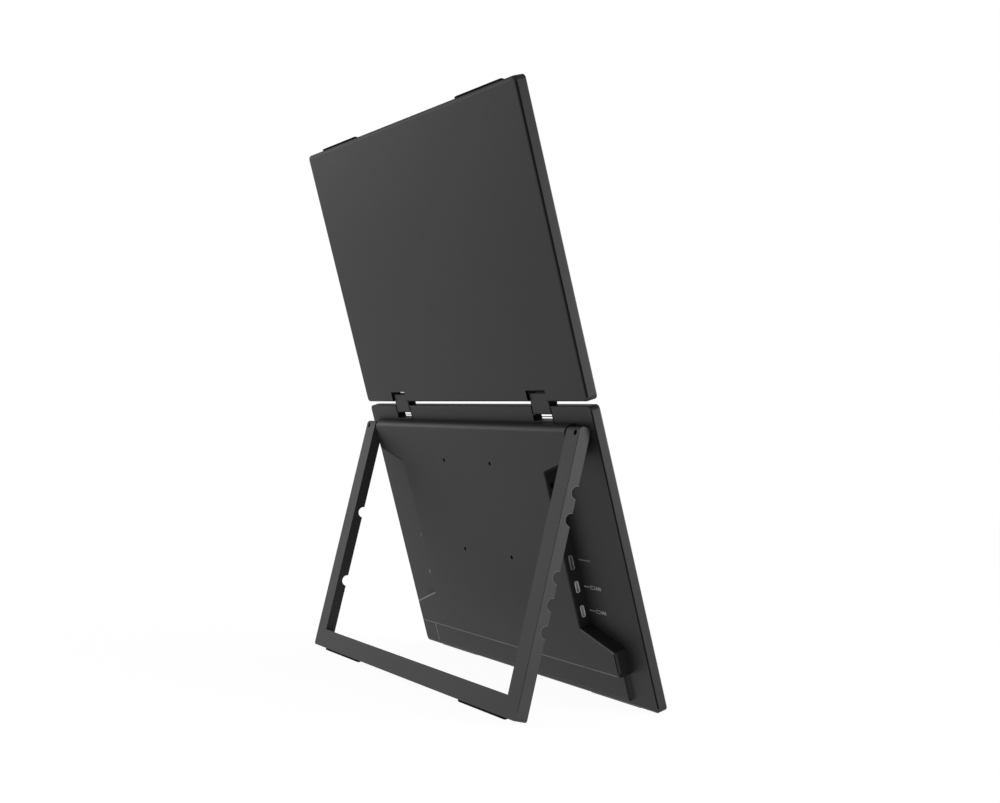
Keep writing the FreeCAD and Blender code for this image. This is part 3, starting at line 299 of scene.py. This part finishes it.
# Printed marks: bars are given by place across, half width and half height
INK_SUNK = 0.02
INK_PROUD = 0.04
INK_LEVELS = (LOWER_BACK - INK_SUNK, LOWER_BACK + INK_PROUD)
INK_BEVEL = 0.02
BAR_CORNER_SHARE = 0.6
VIDEO_MARK_HEIGHT = -116.3
VIDEO_BARS = ((-124.6, 7.9, 0.45), (-130.4, 2.1, 0.7))
DATA_MARK_HEIGHTS = (-136.7, -155.0)
DATA_BARS = ((-119.8, 3.6, 0.3), (-118.0, 0.7, 0.6),
             (-132.6, 0.65, 1.3), (-134.8, 0.65, 1.3), (-137.0, 0.65, 1.3))
DATA_FRAME_PLACE = -127.6
DATA_FRAME_HALVES = (3.0, 1.3)
DATA_FRAME_CORNER = 0.6
DATA_FRAME_WALL = 0.5
CONTROL_RINGS = ((136.6, -119.4), (137.6, -153.1))
CONTROL_RING_RADIUS = 1.5
CONTROL_RING_WALL = 0.6
CONTROL_BAR_SHIFT = 5.4
CONTROL_BAR_HALVES = (3.0, 0.3)

# Set screws in the stand's head: rings of radius and depth, where radius 0 stands for the hexagon socket
SCREW_INSET = 5.0
SCREW_PLACE = STAND_HALF - SCREW_INSET
SCREW_HEIGHT = 1.6
SCREW_STEPS = 36
SCREW_RINGS = ((1.9, 2.6), (1.9, 3.9), (1.65, 4.15), (0, 4.15), (0, 3.0))
SOCKET_FLAT = 0.95

# Hinge notches: centres and half sizes are towards the back and along the panel
HINGE_OFFSET = 112.5
NOTCH_HALF = 13.2
NOTCH_SKIN = 0.25
NOTCH_CORNER = 0.2
NOTCH_BEVEL = 0.05
BLOCK_HALF = 12.5
RIB_CENTRE = (0.0, -10.4)
RIB_HALVES = (0.35, 0.3)
RIB_BEVEL = 0.02
# Painted shade: black plates on the notch walls, on the blocks' ends, over the slits above the blocks, and a dark
# strip beside each notch
NOTCH_SHADE_CENTRE = (-0.05, -10.65)
NOTCH_SHADE_HALVES = (3.55, 2.05)
END_SHADE_CENTRE = (0.0, 0.0)
END_SHADE_HALVES = (3.3, 1.75)
END_SHADE_CORNER = 0.4
END_SHADE_SKIN = 0.3
END_SHADE_BEVEL = 0.08
SIDE_SHADE_PLATES = (((0.7, 9.35), (4.3, 0.95)), ((4.2, 5.3), (0.85, 3.2)))
BACK_SHADE_SHIFT = 5.2
BACK_SHADE_HEIGHT = 9.85
BACK_SHADE_HALVES = (7.9, 0.65)
BACK_SHADE_LEVELS = (4.2, 5.1)
BACK_SHADE_BEVEL = 0.1
EDGE_SHADE_GAP = 0.65
EDGE_SHADE_SHIFT = NOTCH_HALF + EDGE_SHADE_GAP
EDGE_SHADE_HEIGHT = -8.4
EDGE_SHADE_HALVES = (0.5, 6.0)
EDGE_SHADE_CORNER = 0.3
EDGE_SHADE_SUNK = 0.02
EDGE_SHADE_PROUD = 0.03
EDGE_SHADE_LEVELS = (LOWER_BACK - EDGE_SHADE_SUNK, LOWER_BACK + EDGE_SHADE_PROUD)
EDGE_SHADE_BEVEL = 0.01

# Painted highlights on the housing, the ledge and the legs, and the ledge's ramps
WALL_HIGHLIGHT_HALF_DEPTH = 0.65
WALL_HIGHLIGHT_CORNER = 0.1
WALL_HIGHLIGHT_BEVEL = 0.01
BRIGHT_CORNER_FLAT = 0.45
FAINT_CORNER = 0.1
RAMP_TOP = LEDGE_FACE - 0.7
RAMP_KNEE = (0.6, LOWER_BACK + 0.9)
RAMP_REACH = 1.8
RAMP_PROFILE = ((0, RAMP_TOP), RAMP_KNEE, (RAMP_REACH, LOWER_BACK), (0, LOWER_BACK))
LEG_NOTCH_RADIUS = 4.5
NOTCH_RIM_FIT = 0.02
NOTCH_RIM_WIDTH = 0.4
NOTCH_STEPS = 16

black_oxide = surface("black_oxide", grey(0.004), 0.42, 1800.0, 0.00001, specular=0.2)
# black_finish_and_shade: the set screws' and cross ribs' own black, and painted shade on the plates in and beside
# the hinge notches
black_finish_and_shade = surface("black_finish_and_shade", grey(0.0025), 0.85, 1800.0, 0.00002, specular=0.02)
# seam_and_edge_shade: the dark seams' colour, and painted shade on the backs' rounded edges
seam_and_edge_shade = surface("seam_and_edge_shade", grey(0.007), 0.8, 1800.0, 0.00002, specular=0.05)
# Painted highlights: paler copies of the charcoal plastic, for strips on rounded edges that catch the light
painted_highlight_pale = surface("painted_highlight_pale", grey(0.08), 0.5, 2600.0, 0.00001, mottle=0.12, specular=0.25)
painted_highlight_faint = surface("painted_highlight_faint", (0.022, 0.022, 0.0223), 0.48, 2600.0, 0.00002, mottle=0.06,
                     specular=0.25)
painted_highlight_bright = surface("painted_highlight_bright", grey(0.145), 0.5, 2600.0, 0.00001, mottle=0.12, specular=0.25)
painted_highlight_crest = surface("painted_highlight_crest", (0.04, 0.04, 0.0405), 0.48, 2600.0, 0.00002, mottle=0.06, specular=0.25)
rim_metal = surface("rim_metal", grey(0.62), 0.4, 1800.0, 0.000006, mottle=0.1)
rim_dull = surface("rim_dull", grey(0.25), 0.45, 1800.0, 0.000006, mottle=0.1)
print_ink = surface("print_ink", grey(0.28), 0.7, 3000.0, 0.00001, mottle=0.15, specular=0.1)
faint_ink = surface("faint_ink", grey(0.14), 0.7, 3000.0, 0.00001, mottle=0.15, specular=0.1)
contact_metal = surface("contact_metal", (0.55, 0.42, 0.18), 0.3, 1500.0, 0.000005, metallic=1.0)


def placed(axis, centre, pair, level):
    """A point at a level along one axis, and at a pair of places from the centre along the other two."""
    values = [centre[0] + pair[0], centre[1] + pair[1]]
    values.insert(axis, level)
    return Vector(values)


def rounded_ring(half_a, half_b, radius, steps=6):
    """Points round a rectangle with rounded corners."""
    points = []
    for corner, (side_a, side_b) in enumerate(((1, 1), (-1, 1), (-1, -1), (1, -1))):
        for step in range(steps + 1):
            angle = math.pi / 2 * (corner + step / steps)
            points.append((side_a * (half_a - radius) + radius * math.cos(angle),
                           side_b * (half_b - radius) + radius * math.sin(angle)))
    return points


def skin(shape, place, rings, closed=False):
    """Joins rings of points in a row: a closed skin back to its first ring, others with end caps."""
    rows = [[shape.verts.new(place @ (point * MM)) for point in ring] for ring in rings]
    pairs = list(zip(rows, rows[1:]))
    if closed:
        pairs.append((rows[-1], rows[0]))
    else:
        shape.faces.new(rows[0][::-1])
        shape.faces.new(rows[-1])
    for first, second in pairs:
        for index in range(len(first)):
            after = (index + 1) % len(first)
            shape.faces.new((first[index], first[after], second[after], second[index]))


def rounded_rings(axis, centre, halves, radius, bevel, steps):
    """One rounded ring for each pair of inset and level."""
    rings = []
    for inset, level in steps:
        ring = rounded_ring(halves[0] - inset, halves[1] - inset, max(radius - inset, bevel / 4))
        rings.append([placed(axis, centre, pair, level) for pair in ring])
    return rings


def plate(shape, place, axis, centre, halves, radius, low, high, bevel):
    """A flat piece with rounded corners and a bevelled outer face."""
    shy = high - math.copysign(bevel, high - low)
    steps = ((0, low), (0, shy), (bevel, high))
    skin(shape, place, rounded_rings(axis, centre, halves, radius, bevel, steps))


def collar(shape, place, axis, centre, halves, radius, wall, low, high, bevel):
    """A flat ring with rounded corners and bevelled rims."""
    shy = high - math.copysign(bevel, high - low)
    steps = ((0, low), (0, shy), (bevel, high), (wall - bevel, high), (wall, shy), (wall, low))
    skin(shape, place, rounded_rings(axis, centre, halves, radius, bevel, steps), closed=True)


def new_piece(name, body, shape, material):
    mesh = bpy.data.meshes.new(name)
    bmesh.ops.recalc_face_normals(shape, faces=shape.faces)
    shape.to_mesh(mesh)
    shape.free()
    mesh.materials.append(material)
    piece = bpy.data.objects.new(name, mesh)
    bpy.context.scene.collection.objects.link(piece)
    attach(piece, body)
    return piece


def make_port_rims():
    """Metal lips round the ports' mouths in the waist wall, and a dark one round the audio jack."""
    data, video, jack = bmesh.new(), bmesh.new(), bmesh.new()
    for name, (height, width, depth) in PORTS.items():
        target = video if name == "video_port" else data
        centre = (PORT_BASE + depth / 2, height)
        halves = (depth / 2 + RIM_FIT, width / 2 - RIM_FIT)
        corner = depth / 2 - 2 * RIM_FIT
        collar(target, PANEL_FRAME, ACROSS, centre, halves, corner, RIM_WALL, *RIM_LEVELS, RIM_BEVEL)
    centre = (PORT_BASE + JACK_SIDE / 2, JACK_HEIGHT)
    collar(jack, PANEL_FRAME, ACROSS, centre, (JACK_RIM, JACK_RIM), JACK_RIM - ROUND_SLACK, JACK_RIM_WALL,
           *RIM_LEVELS, RIM_BEVEL)
    new_piece("port_rims", "lower_panel", data, rim_metal)
    new_piece("video_rim", "lower_panel", video, rim_dull)
    new_piece("jack_rim", "lower_panel", jack, black_oxide)


def make_port_contacts():
    """Gold contact rows on both faces of the tongues in the ports."""
    shape = bmesh.new()
    for height, width, depth in PORTS.values():
        count = WIDE_CONTACTS if width > WIDE_PORT else NARROW_CONTACTS
        pitch = (width - depth) / count
        halves = (CONTACT_HALF_LENGTH, pitch * CONTACT_SHARE)
        for side in SIDES:
            face = PORT_BASE + depth / 2 + side * TONGUE_HALF
            for index in range(count):
                centre = (CONTACT_ROW, height + pitch * (index - (count - 1) / 2))
                plate(shape, PANEL_FRAME, BACKWARD, centre, halves, CONTACT_CORNER, face,
                      face + side * CONTACT_PROUD, CONTACT_BEVEL)
    new_piece("port_contacts", "lower_panel", shape, contact_metal)


def make_port_marks():
    """Plain printed marks on the slab beside the ports and the controls: bars, dashes, frames and rings."""
    marks, video = bmesh.new(), bmesh.new()

    def bar(onto, across, height, halves):
        corner = min(halves) * BAR_CORNER_SHARE
        plate(onto, PANEL_FRAME, BACKWARD, (across, height), halves, corner, *INK_LEVELS, INK_BEVEL)

    for across, *halves in VIDEO_BARS:
        bar(video, across, VIDEO_MARK_HEIGHT, halves)
    for height in DATA_MARK_HEIGHTS:
        for across, *halves in DATA_BARS:
            bar(marks, across, height, halves)
        collar(marks, PANEL_FRAME, BACKWARD, (DATA_FRAME_PLACE, height), DATA_FRAME_HALVES,
               DATA_FRAME_CORNER, DATA_FRAME_WALL, *INK_LEVELS, INK_BEVEL)
    for across, height in CONTROL_RINGS:
        bar(marks, across - CONTROL_BAR_SHIFT, height, CONTROL_BAR_HALVES)
        halves = (CONTROL_RING_RADIUS, CONTROL_RING_RADIUS)
        collar(marks, PANEL_FRAME, BACKWARD, (across, height), halves, CONTROL_RING_RADIUS - ROUND_SLACK,
               CONTROL_RING_WALL, *INK_LEVELS, INK_BEVEL)
    new_piece("port_marks", "lower_panel", marks, print_ink)
    new_piece("video_mark", "lower_panel", video, faint_ink)


def hexagon_reach(angle, flat):
    """Distance from a hexagon's middle to its side, in one direction."""
    sector = math.pi / 3
    return flat / math.cos((angle % sector) - sector / 2)


def make_grub_screws():
    """Black set screws with hexagon sockets in the heads of the stand's legs."""
    shape = bmesh.new()
    for side in SIDES:
        rings = []
        for reach, level in SCREW_RINGS:
            ring = []
            for index in range(SCREW_STEPS):
                angle = 2 * math.pi * index / SCREW_STEPS
                radius = reach if reach else hexagon_reach(angle, SOCKET_FLAT)
                across = SCREW_PLACE * side + radius * math.cos(angle)
                ring.append(Vector((across, level, SCREW_HEIGHT + radius * math.sin(angle))))
            rings.append(ring)
        skin(shape, STAND_FRAME, rings)
    screws = new_piece("grub_screws", "stand", shape, black_finish_and_shade)
    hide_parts("stand_screws")


def make_hinge_details():
    """Cross ribs in the notches, and painted shade: black plates in and beside them and on the blocks' ends."""
    ribs, notch_shade, painted_plates, end_shade = bmesh.new(), bmesh.new(), bmesh.new(), bmesh.new()
    for side in SIDES:
        middle = HINGE_OFFSET * side
        plate(ribs, PANEL_FRAME, ACROSS, RIB_CENTRE, RIB_HALVES, NOTCH_CORNER, middle - NOTCH_HALF,
              middle + NOTCH_HALF, RIB_BEVEL)
        for end in SIDES:
            wall = middle + NOTCH_HALF * end
            inner = wall - NOTCH_SKIN * end
            plate(notch_shade, PANEL_FRAME, ACROSS, NOTCH_SHADE_CENTRE, NOTCH_SHADE_HALVES, NOTCH_CORNER, wall, inner,
                  NOTCH_BEVEL)
            for centre, halves in SIDE_SHADE_PLATES:
                plate(painted_plates, PANEL_FRAME, ACROSS, centre, halves, NOTCH_CORNER, wall, inner, NOTCH_BEVEL)
            tip = middle + BLOCK_HALF * end
            plate(end_shade, PANEL_FRAME, ACROSS, END_SHADE_CENTRE, END_SHADE_HALVES, END_SHADE_CORNER, tip,
                  tip + END_SHADE_SKIN * end, END_SHADE_BEVEL)
        back_shade = (middle + BACK_SHADE_SHIFT * side, BACK_SHADE_HEIGHT)
        plate(painted_plates, PANEL_FRAME, BACKWARD, back_shade, BACK_SHADE_HALVES, NOTCH_CORNER, *BACK_SHADE_LEVELS,
              BACK_SHADE_BEVEL)
        # Painted shade: a dark strip beside each notch, along its rounded edge
        edge_shade = (middle - EDGE_SHADE_SHIFT, EDGE_SHADE_HEIGHT)
        plate(notch_shade, PANEL_FRAME, BACKWARD, edge_shade, EDGE_SHADE_HALVES, EDGE_SHADE_CORNER, *EDGE_SHADE_LEVELS,
              EDGE_SHADE_BEVEL)
    new_piece("hinge_ribs", "lower_panel", ribs, black_finish_and_shade)
    new_piece("hinge_notch_shade", "lower_panel", notch_shade, black_finish_and_shade)
    new_piece("hinge_slit_shade", "upper_panel", painted_plates, black_finish_and_shade)
    new_piece("hinge_end_shade", "hinge_links", end_shade, black_finish_and_shade)


def edge_strip(shape, place, start, stop, outward, edge, arc, flat=0):
    """A thin strip on a rounded edge: a flat run on the face, then part of the edge's arc in degrees."""
    face, radius = edge
    run = Vector((stop[0] - start[0], 0, stop[1] - start[1]))
    out = Vector((outward[0], 0, outward[1])).normalized()
    turn = Matrix((out, (0, 1, 0), run.normalized())).transposed().to_4x4()
    local = place @ Matrix.Translation(Vector((start[0], 0, start[1])) * MM) @ turn
    profile = []
    for proud in (SEAM_PROUD, -SEAM_PROUD):
        points = [(-radius - flat, face + proud)] if flat else []
        for step in range(ARC_STEPS + 1):
            angle = math.radians(arc[0] + (arc[1] - arc[0]) * step / ARC_STEPS)
            points.append(((radius + proud) * math.sin(angle) - radius,
                           (radius + proud) * math.cos(angle) + face - radius))
        profile += points if proud > 0 else points[::-1]
    rings = [[Vector((across, depth, level)) for across, depth in profile] for level in (0, run.length)]
    skin(shape, local, rings)


def side_strip(shape, place, across, run, edge, arc, flat=0):
    """An edge strip along a panel, a wing, the ledge or a leg, on the side that across lies on."""
    edge_strip(shape, place, (across, run[0]), (across, run[1]), (across, 0), edge, arc, flat)


def end_strip(shape, half, height, way, edge, arc, flat=0):
    """An edge strip across a panel or the housing, at its upper or lower end."""
    edge_strip(shape, PANEL_FRAME, (-half, height), (half, height), (0, way), edge, arc, flat)


def make_seams_and_edge_shade():
    """Dark seams on the wings, the shoulders and the legs, and painted shade on the backs' rounded edges."""
    upper, lower, legs = bmesh.new(), bmesh.new(), bmesh.new()
    narrowing = WING_HALF - WAIST_HALF
    drop = UPPER_SHOULDER[0] - UPPER_SHOULDER[1]
    for side in SIDES:
        # Painted shade: dark strips on the rounded side edges of both backs
        side_strip(upper, PANEL_FRAME, PANEL_HALF * side, UPPER_RUN, UPPER_EDGE, arc=(40, 78))
        side_strip(lower, PANEL_FRAME, PANEL_HALF * side, LOWER_RUN, LOWER_EDGE, arc=(0, 74), flat=0.3)
        side_strip(lower, PANEL_FRAME, WING_HALF * side, WING_RUN, HOUSING_EDGE, arc=(0, 50), flat=0.25)
        wing = (WING_HALF * side, UPPER_SHOULDER[0])
        waist = (WAIST_HALF * side, UPPER_SHOULDER[1])
        edge_strip(lower, PANEL_FRAME, wing, waist, (drop * side, -narrowing), HOUSING_EDGE, arc=(0, 60),
                   flat=0.15)
        side_strip(legs, STAND_FRAME, STAND_HALF * side, LEG_RUN, LEG_EDGE, arc=(0, 90), flat=0.35)
    # Painted shade: a dark strip on the upper back's rounded top edge
    end_strip(upper, PANEL_HALF - CORNER_GAP, PANEL_END, 1, UPPER_EDGE, arc=(50, 78))
    new_piece("upper_edge_shade", "upper_panel", upper, seam_and_edge_shade)
    new_piece("lower_seam_and_edge_shade", "lower_panel", lower, seam_and_edge_shade)
    new_piece("leg_seams", "stand", legs, seam_and_edge_shade)


def make_housing_highlights_and_ramps():
    """Painted highlights on the housing's crest and its wings' side walls, and ramps at the ledge's ends."""
    crest, painted_plates, ramps = bmesh.new(), bmesh.new(), bmesh.new()
    # Painted highlight: a paler strip on the crest's rounded edge
    end_strip(crest, WING_HALF - CREST_INSET, HOUSING_TOP, 1, CREST_EDGE, arc=(26, 52))
    wall_highlight_centre = (HOUSING_FACE - HOUSING_ROUND - WALL_HIGHLIGHT_HALF_DEPTH, (WING_RUN[0] + WING_RUN[1]) / 2)
    wall_highlight_halves = (WALL_HIGHLIGHT_HALF_DEPTH, (WING_RUN[1] - WING_RUN[0]) / 2)
    for side in SIDES:
        # Painted highlight: paler strips and plates on the wings' side walls
        side_strip(painted_plates, PANEL_FRAME, WING_HALF * side, WING_RUN, HOUSING_EDGE, arc=(52, 90))
        low = (WING_HALF - SEAM_PROUD) * side
        high = (WING_HALF + SEAM_PROUD) * side
        plate(painted_plates, PANEL_FRAME, ACROSS, wall_highlight_centre, wall_highlight_halves, WALL_HIGHLIGHT_CORNER, low, high, WALL_HIGHLIGHT_BEVEL)
        foot = [((LEDGE_HALF + reach) * side, depth) for reach, depth in RAMP_PROFILE]
        rings = [[Vector((across, depth, height)) for across, depth in foot] for height in LEDGE_RUN]
        skin(ramps, PANEL_FRAME, rings)
    new_piece("housing_crest_highlight", "lower_panel", crest, painted_highlight_crest)
    new_piece("wing_wall_highlights", "lower_panel", painted_plates, painted_highlight_crest)
    new_piece("ledge_ramps", "lower_panel", ramps, materials["cover_plastic"])


def make_painted_edge_highlights():
    """Painted highlights: paler strips on the rounded edges of the housing, the ledge and the backs."""
    lower, upper, corner = bmesh.new(), bmesh.new(), bmesh.new()
    end_strip(lower, WING_HALF - WING_INSET, HOUSING_BOTTOM, -1, HOUSING_EDGE, arc=(0, 60), flat=0.3)
    end_strip(lower, PANEL_HALF - CORNER_GAP, -PANEL_END, -1, LOWER_EDGE, arc=(0, 70), flat=0.6)
    drop = LOWER_SHOULDER[0] - LOWER_SHOULDER[1]
    widening = WING_HALF - WAIST_HALF
    for side, target, highlight_flat in ((-1, lower, FAINT_CORNER), (1, corner, BRIGHT_CORNER_FLAT)):
        waist = (WAIST_HALF * side, LOWER_SHOULDER[0])
        wing = (WING_HALF * side, LOWER_SHOULDER[1])
        edge_strip(target, PANEL_FRAME, waist, wing, (drop * side, widening), HOUSING_EDGE, arc=(0, 60),
                   flat=highlight_flat)
    side_strip(corner, PANEL_FRAME, LEDGE_HALF, LEDGE_RUN, LEDGE_EDGE, arc=(0, 80), flat=0.9)
    side_strip(upper, PANEL_FRAME, PANEL_HALF, UPPER_RUN, UPPER_EDGE, arc=(0, 40), flat=1.2)
    for arc, flat in (((0, 6), 1.2), ((26, 50), 0)):
        end_strip(upper, PANEL_HALF - CORNER_GAP, PANEL_END, 1, UPPER_EDGE, arc, flat)
    new_piece("lower_painted_highlights", "lower_panel", lower, painted_highlight_pale)
    new_piece("corner_painted_highlights", "lower_panel", corner, painted_highlight_bright)
    new_piece("upper_painted_highlights", "upper_panel", upper, painted_highlight_faint)


def make_notch_rim_highlights():
    """Painted highlights: thin pale rims round the cable notches on the outer faces of the stand's legs."""
    shape = bmesh.new()
    to_panel = PANEL_FRAME.inverted()
    pivot_height = (to_panel @ STAND_FRAME.translation).z / MM
    inner = LEG_NOTCH_RADIUS + NOTCH_RIM_FIT
    outer = LEG_NOTCH_RADIUS + NOTCH_RIM_WIDTH
    beside = {-1: ("audio_jack", *PORTS), 1: ("menu_rocker", "power_button")}
    for side, names in beside.items():
        for name in names:
            low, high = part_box(name)
            height = (to_panel @ ((Vector(low) + Vector(high)) / 2)).z / MM - pivot_height
            rings = []
            for proud in (-SEAM_PROUD, SEAM_PROUD):
                level = (STAND_HALF + proud) * side
                ring = []
                for radius, order in ((inner, 1), (outer, -1)):
                    for step in range(NOTCH_STEPS + 1):
                        turn = math.pi * (step / NOTCH_STEPS - 0.5) * order
                        depth = radius * math.cos(turn) - STAND_BACK
                        ring.append(Vector((level, depth, radius * math.sin(turn) + height)))
                rings.append(ring)
            skin(shape, STAND_FRAME, rings)
    new_piece("notch_rim_highlights", "stand", shape, painted_highlight_pale)


special_looks = {
    "data_port_a": rim_metal, "data_port_b": rim_metal, "data_port_c": rim_metal, "video_port": rim_dull,
    "lower_friction_washers": black_oxide, "upper_friction_washers": black_oxide,
    "lower_left_hinge_pin": black_oxide, "lower_right_hinge_pin": black_oxide,
    "upper_left_hinge_pin": black_oxide, "upper_right_hinge_pin": black_oxide,
}
for node_name, look in special_looks.items():
    frame["nodes"][node_name].data.materials[0] = look
make_port_rims()
make_port_contacts()
make_port_marks()
make_grub_screws()
make_hinge_details()
make_seams_and_edge_shade()
make_painted_edge_highlights()
make_housing_highlights_and_ramps()
make_notch_rim_highlights()


# Studio
FLOOR_RADIUS = 2.8
FLOOR_SEGMENTS = 96
FLOOR_GLOW = 0.95
SKY_DIM = 0.08
SKY_BRIGHT = 0.66
SKY_SIDE = (0.9, 0.1, 0.42)

# Square lights: place and target in metres, side in metres, power in watts
LIGHTS = {
    "left_back": ((3.0, 1.8, 0.6), (0, 0, 0.2), 0.8, 5.4),
    "left": ((3.4, 0.7, 0.8), (0, 0, 0.2), 0.6, 5.4),
    "front_right": ((-1.6, -1.3, 0.42), (-0.17, 0, 0.2), 0.9, 31.0),
}

# Camera: millimetres for the sensor and the lens, metres for its place
CAMERA_SENSOR = 36.0
CAMERA_LENS = 50.523
CAMERA_PLACE = (-0.967852, 0.5264, 0.195374)
CAMERA_FORWARD = (0.867217, -0.497552, 0.019443)
CAMERA_UP = (0.000045, 0.039127, 0.999234)


def make_floor():
    """A round pale table top under the object."""
    mesh = bpy.data.meshes.new("floor")
    shape = bmesh.new()
    bmesh.ops.create_circle(shape, cap_ends=True, segments=FLOOR_SEGMENTS, radius=FLOOR_RADIUS)
    shape.to_mesh(mesh)
    shape.free()
    floor = bpy.data.objects.new("floor", mesh)
    bpy.context.scene.collection.objects.link(floor)
    paper = surface("floor_paper", grey(0.1), 0.9, 400.0, 0.00002, mottle=0.01, specular=0.0)
    glow = paper.node_tree.nodes["Principled BSDF"]
    glow.inputs["Emission Color"].default_value = (1, 1, 1, 1)
    glow.inputs["Emission Strength"].default_value = FLOOR_GLOW
    mesh.materials.append(paper)


def make_light(name, place, target, side, power):
    data = bpy.data.lights.new(name, "AREA")
    data.shape = "RECTANGLE"
    data.size = side
    data.size_y = side
    data.energy = power
    light = bpy.data.objects.new(name, data)
    light.location = place
    light.visible_camera = False
    light.rotation_mode = "QUATERNION"
    light.rotation_quaternion = (Vector(target) - Vector(place)).to_track_quat("-Z", "Y")
    bpy.context.scene.collection.objects.link(light)


def make_world():
    """White behind the object for the camera, and a sky brighter towards one side for the light."""
    world = bpy.data.worlds.new("studio")
    world.use_nodes = True
    tree = world.node_tree
    shade = tree.nodes["Background"]
    shade.inputs["Color"].default_value = (1, 1, 1, 1)
    seen = tree.nodes.new("ShaderNodeLightPath")
    level = add_node(tree, "ShaderNodeMapRange")
    level.inputs["To Max"].default_value = 1.0
    place = tree.nodes.new("ShaderNodeTexCoord")
    slant = tree.nodes.new("ShaderNodeVectorMath")
    slant.operation = "DOT_PRODUCT"
    slant.inputs[1].default_value = SKY_SIDE
    tree.links.new(place.outputs["Generated"], slant.inputs[0])
    sky = add_node(tree, "ShaderNodeMapRange")
    sky.inputs["From Min"].default_value = -1.0
    sky.inputs["To Min"].default_value = SKY_DIM
    sky.inputs["To Max"].default_value = SKY_BRIGHT
    tree.links.new(slant.outputs["Value"], sky.inputs["Value"])
    tree.links.new(sky.outputs["Result"], level.inputs["To Min"])
    tree.links.new(seen.outputs["Is Camera Ray"], level.inputs["Value"])
    tree.links.new(level.outputs["Result"], shade.inputs["Strength"])
    bpy.context.scene.world = world
    bpy.context.scene.view_settings.view_transform = "Standard"


def make_camera():
    """The photograph's own view, found by fitting a camera to the object's corners."""
    data = bpy.data.cameras.new("photo_camera")
    data.sensor_width = CAMERA_SENSOR
    data.sensor_fit = "HORIZONTAL"
    data.lens = CAMERA_LENS
    data.clip_start = 0.01
    data.clip_end = 50.0
    camera = bpy.data.objects.new("photo_camera", data)
    forward = Vector(CAMERA_FORWARD).normalized()
    up = Vector(CAMERA_UP).normalized()
    right = forward.cross(up).normalized()
    turn = Matrix((right, up, -forward)).transposed().to_4x4()
    camera.matrix_world = Matrix.Translation(CAMERA_PLACE) @ turn
    bpy.context.scene.collection.objects.link(camera)
    bpy.context.scene.camera = camera


make_floor()
make_world()
for light_name, values in LIGHTS.items():
    make_light(light_name, *values)
make_camera()
